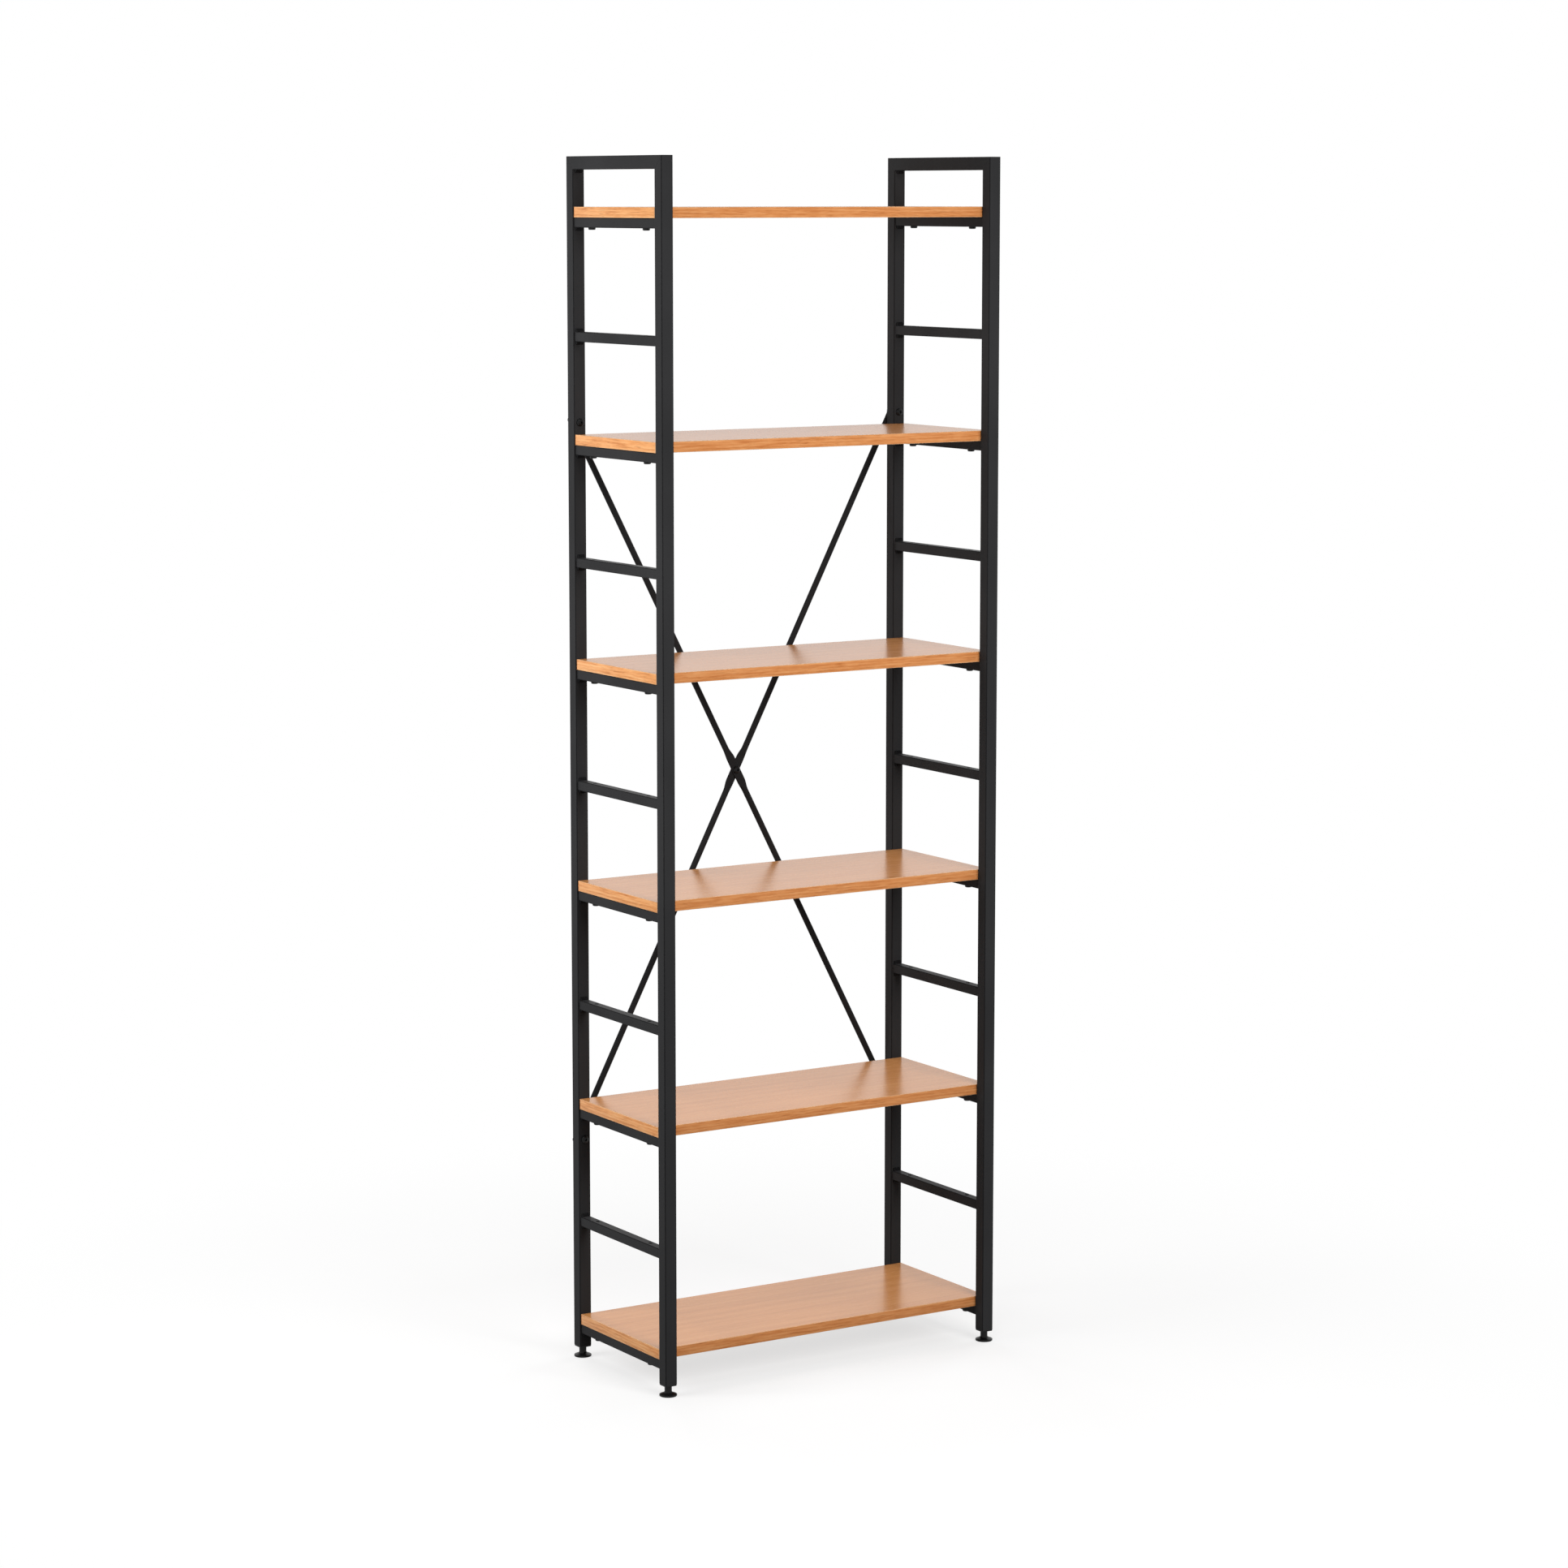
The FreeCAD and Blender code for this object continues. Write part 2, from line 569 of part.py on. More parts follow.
def make_foot_base(label, x, y):
    """The round base of a foot, with its hub and the pocket for the stud's collar."""
    body = new_body(label, x, y)
    profile = new_sketch(body, "XZ_Plane")
    pocket_r = f"{COLLAR_R} + sizes.stud_room"
    pocket_top = f"{COLLAR_FOOT} + sizes.stud_collar_tall + sizes.collar_room"
    rim = "sizes.foot_disc / 2"
    hub = "sizes.foot_hub / 2"
    flare = []
    for angle in (0, 30, 60, 90):
        out = f"{hub} + sizes.foot_flare * (1 - sin({angle} deg))"
        up = f"sizes.foot_dome + sizes.foot_flare * (1 - cos({angle} deg))"
        flare.append((out, up))
    draw_outline(profile, [
        ("0", "0"),
        (f"{rim} - sizes.foot_rim_bevel", "0"),
        (rim, "sizes.foot_rim_bevel"),
        (rim, "sizes.foot_rim - sizes.foot_rim_bevel"),
        (f"{rim} - sizes.foot_rim_bevel", "sizes.foot_rim"),
        *flare,
        (hub, HUB_TOP),
        (f"{STUD_BORE} / 2", HUB_TOP),
        (f"{STUD_BORE} / 2", pocket_top),
        (pocket_r, pocket_top),
        (pocket_r, "sizes.foot_floor"),
        ("0", "sizes.foot_floor"),
    ])
    revolve(body, profile)


SIDES = {"left": f"-{POST_X}", "right": POST_X}
ENDS = {"front": f"-{POST_Y}", "rear": POST_Y}

for side, x in SIDES.items():
    for end, y in ENDS.items():
        corner = f"{side}_{end}"
        make_post(f"post_{corner}", x, y, end == "rear", end == "rear")
        make_foot_insert(f"foot_insert_{corner}", x, y)
        make_foot_stud(f"foot_stud_{corner}", x, y)
        make_foot_base(f"foot_base_{corner}", x, y)
    make_top_rail(f"top_rail_{side}", x)
    for level in range(SHELF_COUNT):
        seat = f"({shelf_top(level)} - sizes.shelf_thick)"
        make_cross_rail(f"shelf_rail_{side}_{level + 1}", x, seat)
        if level < SHELF_COUNT - 1:
            make_cross_rail(f"extra_rail_{side}_{level + 1}", x, f"({seat} - {SHELF_STEP} / 2)")

for level in range(SHELF_COUNT):
    make_shelf(f"shelf_{level + 1}", level)
    make_shelf_screws(f"shelf_screws_{level + 1}", level)

make_brace("brace_bar_front", True, "-sizes.brace_flat_thick / 2")
make_brace("brace_bar_rear", False, "sizes.brace_flat_thick / 2")
make_brace_fixings()

doc.recompute()
for item in doc.Objects:
    if "Invalid" in item.State or "Error" in item.State:
        raise RuntimeError(f"{item.Label} failed: {item.State}")
for body in nodes:
    if body.Shape.isNull() or not body.Shape.isValid():
        raise RuntimeError(f"{body.Label} has no valid shape")

os.makedirs("parts", exist_ok=True)
for body in nodes:
    body.Shape.exportStep(f"parts/{body.Label}.step")
print(f"{len(nodes)} pieces written")
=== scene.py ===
"""Looks of a tall open bookcase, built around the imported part.

A black coated steel frame of square tube carries six wood effect boards and stands on four
levelling feet. Posts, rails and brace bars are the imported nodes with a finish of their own.
Boards, welds, screws, bolts, nuts, studs and foot discs are modelled here, in metres.
"""

import logging
import math
import random
from dataclasses import dataclass
from enum import Enum
from itertools import pairwise, product
from typing import Any, Callable, Mapping, Optional, Sequence, Union

import bmesh
import bpy
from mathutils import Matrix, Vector


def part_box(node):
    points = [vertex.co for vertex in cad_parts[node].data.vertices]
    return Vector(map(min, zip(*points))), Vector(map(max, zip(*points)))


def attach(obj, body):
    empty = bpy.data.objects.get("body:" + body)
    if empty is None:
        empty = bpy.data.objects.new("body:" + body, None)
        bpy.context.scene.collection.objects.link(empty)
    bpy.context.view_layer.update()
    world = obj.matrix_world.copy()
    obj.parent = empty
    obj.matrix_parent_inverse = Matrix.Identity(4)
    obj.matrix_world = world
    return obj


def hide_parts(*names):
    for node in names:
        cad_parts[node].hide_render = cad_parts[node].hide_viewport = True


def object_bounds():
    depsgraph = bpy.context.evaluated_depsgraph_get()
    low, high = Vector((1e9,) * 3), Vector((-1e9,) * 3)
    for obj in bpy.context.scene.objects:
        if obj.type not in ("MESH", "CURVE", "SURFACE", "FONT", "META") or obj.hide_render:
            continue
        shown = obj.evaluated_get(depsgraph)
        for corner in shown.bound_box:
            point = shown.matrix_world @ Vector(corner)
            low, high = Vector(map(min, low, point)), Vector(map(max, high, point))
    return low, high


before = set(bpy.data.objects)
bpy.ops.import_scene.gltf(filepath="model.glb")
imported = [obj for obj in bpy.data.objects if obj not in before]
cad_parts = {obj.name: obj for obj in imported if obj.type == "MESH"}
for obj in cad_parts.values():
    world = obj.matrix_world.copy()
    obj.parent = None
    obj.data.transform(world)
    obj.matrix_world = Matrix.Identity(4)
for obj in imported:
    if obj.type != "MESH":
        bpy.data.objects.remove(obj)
CAD_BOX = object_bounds()

Point = tuple[float, float]
Triple = tuple[float, float, float]
Colour = tuple[float, float, float, float]
Material = bpy.types.Material

MM = 0.001
# Points that lie closer than this are at the same place.
TOUCH = MM / 100
# A face lies square to an axis where its normal has at least this share along it.
FLAT = 0.99
WHITE: Colour = (1.0, 1.0, 1.0, 1.0)
SIDES = ("left", "right")
CORNERS = tuple(f"{side}_{end}" for side, end in product(SIDES, ("front", "rear")))
SHELVES = range(1, 7)
EXTRA_RAILS = range(1, 6)
# Points of a thread's tooth: root (0) or crest (1), and the share of the pitch.
TOOTH = ((0, 0.0), (1, 0.45), (1, 0.55), (0, 1.0))
# Turns that a thread starts below its lower end, where it is cut off.
LEAD_TURNS = 1.37

log = logging.getLogger("bookcase")


def srgb(red: int, green: int, blue: int) -> Colour:
    """Turns a screen colour into the linear one that shaders take.

    Args:
        red: Red, from 0 to 255.
        green: Green, from 0 to 255.
        blue: Blue, from 0 to 255.

    Returns:
        The linear colour with full alpha.
    """
    shares = [part / 255 for part in (red, green, blue)]
    linear = [s / 12.92 if s <= 0.04045 else ((s + 0.055) / 1.055) ** 2.4 for s in shares]
    return (*linear, 1.0)


def arc(centre: Point, radius: float, start: float, stop: float, steps: int) -> list[Point]:
    """Gives an arc of a profile between two angles, in degrees from the outward direction."""
    turns = [math.radians(start + (stop - start) * step / steps) for step in range(steps + 1)]
    return [(centre[0] + radius * math.cos(t), centre[1] + radius * math.sin(t)) for t in turns]


def deselect() -> None:
    """Drops the selection, because an operator acts on all that is selected."""
    bpy.ops.object.select_all(action="DESELECT")


def middle_of(node: str) -> Triple:
    """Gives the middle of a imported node's box."""
    return tuple((low + high) / 2 for low, high in zip(*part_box(node)))


class Pick(Enum):
    """What a selection in edit mode is made of."""

    VERTS = "VERT"
    EDGES = "EDGE"
    FACES = "FACE"


class Axis(Enum):
    """The turn that lays a piece made along Z on an axis."""

    X = (0.0, math.pi / 2, 0.0)
    Y = (-math.pi / 2, 0.0, 0.0)
    Z = (0.0, 0.0, 0.0)


class Keep(Enum):
    """Which side of a cutting plane stays."""

    AHEAD = "ahead"
    BEHIND = "behind"
    BOTH = "both"


class Carving(Enum):
    """What a carving tool leaves of a blank."""

    OUTSIDE = "DIFFERENCE"
    INSIDE = "INTERSECT"


class Blank:
    """A mesh on the bench: it starts as a primitive and is shaped in edit mode."""

    def __init__(self, name: str) -> None:
        """Takes the object that was just added.

        Args:
            name: Name of the object and its mesh.
        """
        self.obj = bpy.context.object
        self.obj.name = name
        self.obj.data.name = name
        self.settle()

    @classmethod
    def block(cls, name: str, low: Vector, high: Vector) -> "Blank":
        """Adds a block that fills a box.

        Args:
            name: Name of the new object.
            low: Lowest corner.
            high: Highest corner.

        Returns:
            The new blank.
        """
        deselect()
        bpy.ops.mesh.primitive_cube_add(size=1, location=(low + high) / 2)
        bpy.context.object.scale = high - low
        return cls(name)

    @classmethod
    def rod(cls, name: str, radius: float, middle: Vector, length: float, axis: Axis,
            sides: int) -> "Blank":
        """Adds a rod, round or with a few flats.

        Args:
            name: Name of the new object.
            radius: Radius over the corners.
            middle: Middle of the rod.
            length: Length along its axis.
            axis: Direction of the rod.
            sides: Number of flats round it.

        Returns:
            The new blank.
        """
        deselect()
        bpy.ops.mesh.primitive_cylinder_add(
            vertices=sides, radius=radius, depth=length, location=middle, rotation=axis.value)
        return cls(name)

    @classmethod
    def line(cls, name: str, profile: Sequence[Point]) -> "Blank":
        """Draws a profile beside the Z axis by extruding one point.

        Args:
            name: Name of the new object.
            profile: Points as radius and height.

        Returns:
            The new blank, a chain of edges.
        """
        deselect()
        bpy.ops.mesh.primitive_plane_add(size=MM, location=(0, 0, 0))
        blank = cls(name)
        blank.edit()
        bpy.ops.mesh.select_all(action="SELECT")
        bpy.ops.mesh.merge(type="CENTER")
        bpy.ops.transform.translate(value=(profile[0][0], 0, profile[0][1]))
        for (radius, height), (next_radius, next_height) in pairwise(profile):
            step = (next_radius - radius, 0, next_height - height)
            bpy.ops.mesh.extrude_region_move(TRANSFORM_OT_translate={"value": step})
        blank.done()
        return blank

    @classmethod
    def turned(cls, name: str, profile: Sequence[Point], steps: int) -> "Blank":
        """Spins a profile about the Z axis, as on a lathe.

        Args:
            name: Name of the new object.
            profile: Points as radius and height.
            steps: Number of flats round the piece.

        Returns:
            The new blank.
        """
        blank = cls.line(name, profile)
        blank.edit()
        bpy.ops.mesh.select_all(action="SELECT")
        bpy.ops.mesh.spin(steps=steps, angle=2 * math.pi, center=(0, 0, 0), axis=(0, 0, 1))
        blank.heal()
        blank.done()
        return blank

    @classmethod
    def thread(cls, radii: Point, pitch: float, ends: Point, steps: int, taper: Point) -> "Blank":
        """Winds a closed screw thread about the Z axis.

        Args:
            radii: Radius at the root and at the crest.
            pitch: Rise in one turn.
            ends: Heights of the two cut ends.
            steps: Number of flats in one turn.
            taper: Turns below the upper end that are drawn in, and the share that is left.

        Returns:
            The new blank.
        """
        low, high = ends
        turns, share = taper
        start = low - LEAD_TURNS * pitch
        blank = cls.line("thread", [(radii[edge], start + up * pitch) for edge, up in TOOTH])
        blank.modify(
            "SCREW", axis="Z", angle=2 * math.pi, screw_offset=pitch, steps=steps,
            render_steps=steps, iterations=math.ceil((high - start) / pitch) + 1,
            use_merge_vertices=False)
        blank.edit()
        blank.heal()
        blank.bisect((0, 0, low), (0, 0, 1), Keep.AHEAD)
        blank.bisect((0, 0, high), (0, 0, 1), Keep.BEHIND)
        blank.heal()
        blank.pick(Pick.VERTS, lambda vert: vert.co.z > high - turns * pitch)
        blank.resize((share, share, 1))
        blank.done()
        return blank

    @staticmethod
    def joined(name: str, blanks: Sequence["Blank"]) -> "Blank":
        """Joins blanks into the first of them.

        Args:
            name: Name of the whole piece.
            blanks: The blanks that become one mesh.

        Returns:
            The whole piece.
        """
        blanks[0].take()
        for other in blanks[1:]:
            other.obj.select_set(True)
        bpy.ops.object.join()
        blanks[0].obj.name = name
        return blanks[0]

    def take(self) -> None:
        """Makes this the only selected object and the active one."""
        deselect()
        self.obj.select_set(True)
        bpy.context.view_layer.objects.active = self.obj

    def scrap(self) -> None:
        """Throws the blank away."""
        bpy.data.objects.remove(self.obj)

    def settle(self) -> None:
        """Puts the object's place, turn and scale into its mesh."""
        self.take()
        bpy.ops.object.transform_apply(location=True, rotation=True, scale=True)

    def edit(self) -> None:
        """Opens the mesh in edit mode, ready to select points."""
        self.take()
        bpy.ops.object.mode_set(mode="EDIT")
        bpy.ops.mesh.select_mode(type="VERT")

    def done(self) -> None:
        """Closes edit mode."""
        bpy.ops.object.mode_set(mode="OBJECT")

    def pick(self, kind: Pick, wanted: Callable[[Any], bool]) -> None:
        """Selects parts of the open mesh.

        Args:
            kind: Vertices, edges or faces.
            wanted: Test that a part has to pass.
        """
        bpy.ops.mesh.select_mode(type=kind.value)
        bpy.ops.mesh.select_all(action="DESELECT")
        mesh = bmesh.from_edit_mesh(self.obj.data)
        groups = {Pick.VERTS: mesh.verts, Pick.EDGES: mesh.edges, Pick.FACES: mesh.faces}
        for part in groups[kind]:
            if wanted(part):
                part.select_set(True)
        bmesh.update_edit_mesh(self.obj.data)

    def resize(self, size: Sequence[float], centre: Sequence[float] = (0, 0, 0)) -> None:
        """Scales what is selected in the open mesh about a centre."""
        bpy.ops.transform.resize(value=size, center_override=centre)

    def bevel(self, offset: float, segments: int) -> None:
        """Bevels the selected edges of the open mesh."""
        bpy.ops.mesh.bevel(offset=offset, segments=segments, affect="EDGES")

    def bisect(self, point: Sequence[float], normal: Sequence[float], keep: Keep) -> None:
        """Cuts the open mesh with a plane and closes the cut where a side goes.

        Args:
            point: A point of the plane.
            normal: The plane's normal, which points ahead.
            keep: The side that stays.
        """
        bpy.ops.mesh.select_all(action="SELECT")
        bpy.ops.mesh.bisect(
            plane_co=point, plane_no=normal, use_fill=keep is not Keep.BOTH, threshold=TOUCH / 100,
            clear_inner=keep is Keep.AHEAD, clear_outer=keep is Keep.BEHIND)

    def heal(self) -> None:
        """Merges doubled points of the open mesh and turns its faces outwards."""
        bpy.ops.mesh.select_all(action="SELECT")
        bpy.ops.mesh.remove_doubles(threshold=TOUCH / 10)
        bpy.ops.mesh.normals_make_consistent(inside=False)

    def modify(self, kind: str, **settings: Any) -> None:
        """Adds a modifier and applies it.

        Args:
            kind: The modifier's type.
            **settings: Its properties.
        """
        self.take()
        bpy.ops.object.modifier_add(type=kind)
        modifier = self.obj.modifiers[-1]
        for key, value in settings.items():
            setattr(modifier, key, value)
        bpy.ops.object.modifier_apply(modifier=modifier.name)

    def carve(self, tool: "Blank", carving: Carving = Carving.OUTSIDE) -> None:
        """Cuts this blank with another one, which is then thrown away."""
        self.modify("BOOLEAN", operation=carving.value, object=tool.obj, solver="EXACT")
        tool.scrap()

    def copy(self, name: str, shift: Sequence[float], flip: Sequence[float] = (1, 1, 1)) -> "Blank":
        """Copies the blank with a mesh of its own.

        Args:
            name: Name of the copy.
            shift: How far the copy moves.
            flip: Scale about the origin before the move, where -1 mirrors an axis.

        Returns:
            The copy.
        """
        self.take()
        bpy.ops.object.duplicate()
        bpy.context.object.scale = flip
        bpy.context.object.location = shift
        twin = Blank(name)
        if math.prod(flip) < 0:
            twin.edit()
            twin.heal()
            twin.done()
        return twin

    def lay(self, turn: Sequence[float], place: Sequence[float] = (0, 0, 0)) -> None:
        """Turns a piece about the origin and moves it to its place.

        Args:
            turn: Turns about the three axes, in radians.
            place: Where the piece's origin goes.
        """
        self.obj.rotation_euler = turn
        self.obj.location = place
        self.settle()

    def smooth(self, degrees: float) -> None:
        """Shades the mesh smooth up to an angle between faces."""
        self.take()
        bpy.ops.object.shade_smooth_by_angle(angle=math.radians(degrees))

    def dress(self, material: Material) -> None:
        """Gives the whole mesh one material."""
        self.obj.data.materials.clear()
        self.obj.data.materials.append(material)

    def dress_faces(self, material: Material, wanted: Callable[[Any], bool]) -> None:
        """Gives some faces a material of their own.

        Args:
            material: The extra material.
            wanted: Test that a face has to pass.
        """
        self.obj.data.materials.append(material)
        self.obj.active_material_index = len(self.obj.data.materials) - 1
        self.edit()
        self.pick(Pick.FACES, wanted)
        bpy.ops.object.material_slot_assign()
        self.done()

    def seat(self, body: str, slot: str, *nodes: str) -> None:
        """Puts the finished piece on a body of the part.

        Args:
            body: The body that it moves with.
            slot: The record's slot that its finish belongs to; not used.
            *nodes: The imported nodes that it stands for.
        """
        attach(self.obj, body)
        if nodes:
            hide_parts(*nodes)
        log.info("%s on %s, %d faces", self.obj.name, body, len(self.obj.data.polygons))


class Value:
    """An output socket whose arithmetic adds Math nodes to its tree."""

    def __init__(self, tree: "Tree", socket: bpy.types.NodeSocket) -> None:
        """Wraps an output socket of a tree."""
        self.tree = tree
        self.socket = socket

    def part(self, name: str) -> "Value":
        """Gives another output of the same node."""
        return Value(self.tree, self.tree.find(self.socket.node.outputs, name))

    def _math(self, operation: str, first: "Number", second: "Number" = 0.0) -> "Value":
        """Adds one Math node."""
        return self.tree.node("ShaderNodeMath", {"operation": operation}, {0: first, 1: second})

    def __add__(self, other: "Number") -> "Value":
        """Adds a number or a socket."""
        return self._math("ADD", self, other)

    def __radd__(self, other: "Number") -> "Value":
        """Adds to a number."""
        return self._math("ADD", other, self)

    def __sub__(self, other: "Number") -> "Value":
        """Takes a number or a socket away."""
        return self._math("SUBTRACT", self, other)

    def __rsub__(self, other: "Number") -> "Value":
        """Takes this from a number."""
        return self._math("SUBTRACT", other, self)

    def __mul__(self, other: "Number") -> "Value":
        """Multiplies by a number or a socket."""
        return self._math("MULTIPLY", self, other)

    def __rmul__(self, other: "Number") -> "Value":
        """Multiplies a number."""
        return self._math("MULTIPLY", other, self)

    def __abs__(self) -> "Value":
        """Drops the sign."""
        return self._math("ABSOLUTE", self)

    def sine(self) -> "Value":
        """Gives the sine."""
        return self._math("SINE", self)

    def either(self, other: "Number") -> "Value":
        """Gives the larger of two values."""
        return self._math("MAXIMUM", self, other)

    def lesser(self, other: "Number") -> "Value":
        """Gives the smaller of two values."""
        return self._math("MINIMUM", self, other)

    def under(self, limit: "Number") -> "Value":
        """Gives 1 where the value is under a limit."""
        return self._math("LESS_THAN", self, limit)

    def repeat(self, middle: float, step: float) -> "Value":
        """Gives the distance from the nearest of many middles, one step apart."""
        sockets = {0: self - middle, 1: step / 2, 2: -step / 2}
        return abs(self.tree.node("ShaderNodeMath", {"operation": "WRAP"}, sockets))


Number = Union[Value, float]


class Tree:
    """A node tree that is written as expressions."""

    def __init__(self, tree: bpy.types.NodeTree) -> None:
        """Empties the tree of a material or a world."""
        self.tree = tree
        tree.nodes.clear()

    @staticmethod
    def find(sockets: Any, key: Union[str, int]) -> bpy.types.NodeSocket:
        """Finds a socket of a node.

        Args:
            sockets: The node's inputs or outputs.
            key: Its number, identifier or name.

        Returns:
            The socket.
        """
        if isinstance(key, int):
            return sockets[key]
        return next(s for s in sockets if key in (s.identifier, s.name))

    def node(self, kind: str, settings: Mapping[str, Any], sockets: Mapping[Union[str, int], Any],
             output: Union[str, int] = 0) -> Value:
        """Adds a node.

        Args:
            kind: The node's type.
            settings: Properties that are set first, a ramp's stops among them.
            sockets: Values or links of its inputs.
            output: The output that is wanted.

        Returns:
            That output.
        """
        made = self.tree.nodes.new(kind)
        for key, value in settings.items():
            if key == "stops":
                self._set_stops(made.color_ramp, value)
            else:
                setattr(made, key, value)
        for key, value in sockets.items():
            socket = self.find(made.inputs, key)
            if isinstance(value, Value):
                self.tree.links.new(value.socket, socket)
            else:
                socket.default_value = value
        return Value(self, self.find(made.outputs, output) if made.outputs else None)

    @staticmethod
    def _set_stops(ramp: bpy.types.ColorRamp, stops: Sequence[tuple[float, Colour]]) -> None:
        """Sets the stops of a colour ramp.

        Args:
            ramp: The ramp.
            stops: Places from 0 to 1, each with its colour.
        """
        while len(ramp.elements) < len(stops):
            ramp.elements.new(1.0)
        for element, (place, colour) in zip(ramp.elements, stops):
            element.position = place
            element.color = colour

    def ramp(self, value: Value, stops: Sequence[tuple[float, Colour]]) -> Value:
        """Colours a value by the stops of a ramp."""
        return self.node("ShaderNodeValToRGB", {"stops": stops}, {"Fac": value})

    def mix(self, share: Number, first: Union[Value, Colour], second: Colour) -> Value:
        """Mixes a share of a second colour into the first."""
        sockets = {"Factor_Float": share, "A_Color": first, "B_Color": second}
        return self.node("ShaderNodeMix", {"data_type": "RGBA"}, sockets, "Result_Color")

    def blend(self, share: Number, first: Value, second: Value) -> Value:
        """Mixes a share of a second shader into the first."""
        return self.node("ShaderNodeMixShader", {}, {0: share, 1: first, 2: second})

    def ease(self, value: Value, low: float, high: float) -> Value:
        """Maps a value to 0 at its low end and 1 at its high end, with soft ends."""
        sockets = {"Value": value, "From Min": low, "From Max": high}
        return self.node("ShaderNodeMapRange", {"interpolation_type": "SMOOTHSTEP"}, sockets)


class Shader(Tree):
    """The node tree of one material."""

    def __init__(self, name: str) -> None:
        """Starts a material that holds only the place on the object, in metres.

        Args:
            name: Name of the material.
        """
        self.material = bpy.data.materials.new(name)
        self.material.use_nodes = True
        super().__init__(self.material.node_tree)
        self.place = self.node("ShaderNodeTexCoord", {}, {}, "Object")

    def split(self, vector: Value) -> Value:
        """Splits a place into its parts X, Y and Z."""
        return self.node("ShaderNodeSeparateXYZ", {}, {"Vector": vector})

    def mapped(self, cells: Sequence[float], turn: float = 0.0) -> Value:
        """Turns the place about Z and then counts it in cells, so many to the metre."""
        spun = self.node("ShaderNodeMapping", {}, {"Vector": self.place, "Rotation": (0, 0, turn)})
        return self.node("ShaderNodeMapping", {}, {"Vector": spun, "Scale": cells})

    def noise(self, cells: Sequence[float], detail: float, turn: float = 0.0,
              roughness: float = 0.5) -> Value:
        """Gives a soft noise, about 0.5 on average.

        Args:
            cells: Cells in a metre along each axis.
            detail: Number of finer layers.
            turn: Turn of the pattern about Z, in radians.
            roughness: Strength of the finer layers.

        Returns:
            The noise.
        """
        vector = self.mapped(cells, turn)
        sockets = {"Vector": vector, "Scale": 1.0, "Detail": detail, "Roughness": roughness}
        return self.node("ShaderNodeTexNoise", {}, sockets)

    def bump(self, height: Value, deep: float, strength: float) -> Value:
        """Makes a relief of a height from 0 to 1, so many metres deep."""
        sockets = {"Height": height, "Distance": deep, "Strength": strength}
        return self.node("ShaderNodeBump", {}, sockets)

    def close(self, sockets: Mapping[str, Any]) -> Material:
        """Ends the material with its surface shader.

        Args:
            sockets: Values or links of the surface shader.

        Returns:
            The material.
        """
        surface = self.node("ShaderNodeBsdfPrincipled", {}, sockets)
        self.node("ShaderNodeOutputMaterial", {}, {"Surface": surface})
        return self.material


@dataclass(frozen=True)
class CornerShade:
    """Finds the rounded corners of posts and rails, for lines of painted shade."""

    soft_from: float = 1.5 * MM
    soft_to: float = 0.8 * MM
    slack: float = 0.2 * MM

    def square(self, shader: Shader, first: Value, second: Value, half: float) -> Value:
        """Marks the corners of one square tube.

        Args:
            shader: The material's tree.
            first: Distance from the tube's axis one way.
            second: Distance from the axis the other way.
            half: Half of the tube's width.

        Returns:
            1 in the corners and 0 on the flats.
        """
        near = first.lesser(second)
        inside = first.either(second).under(half + self.slack)
        return shader.ease(near, half - self.soft_from, half - self.soft_to) * inside

    def mask(self, shader: Shader) -> Value:
        """Marks the corners of all posts, cross rails and top rails.

        Args:
            shader: The material's tree.

        Returns:
            1 in the corners and 0 on the flats.
        """
        post, low, next_up, top = map(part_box, (
            "post_right_rear", "shelf_rail_right_6", "extra_rail_right_5", "top_rail_right"))
        post_x, post_y, _ = middle_of("post_right_rear")
        post_half, rail_half = ((box[1].x - box[0].x) / 2 for box in (post, low))
        place = shader.split(shader.place)
        aside = abs(abs(place.part("X")) - post_x)
        deep = abs(place.part("Y"))
        height = place.part("Z")
        level = height.repeat(low[1].z - rail_half, next_up[1].z - low[1].z)
        rails = self.square(shader, aside, level, rail_half)
        caps = self.square(shader, aside, abs(height - (top[1].z - post_half)), post_half)
        between = deep.under(post_y - post_half - self.slack)
        upright = height.under(top[0].z).either(1 - deep.under(post_y))
        posts = upright * self.square(shader, aside, abs(deep - post_y), post_half)
        return posts.either(between * rails.either(caps))


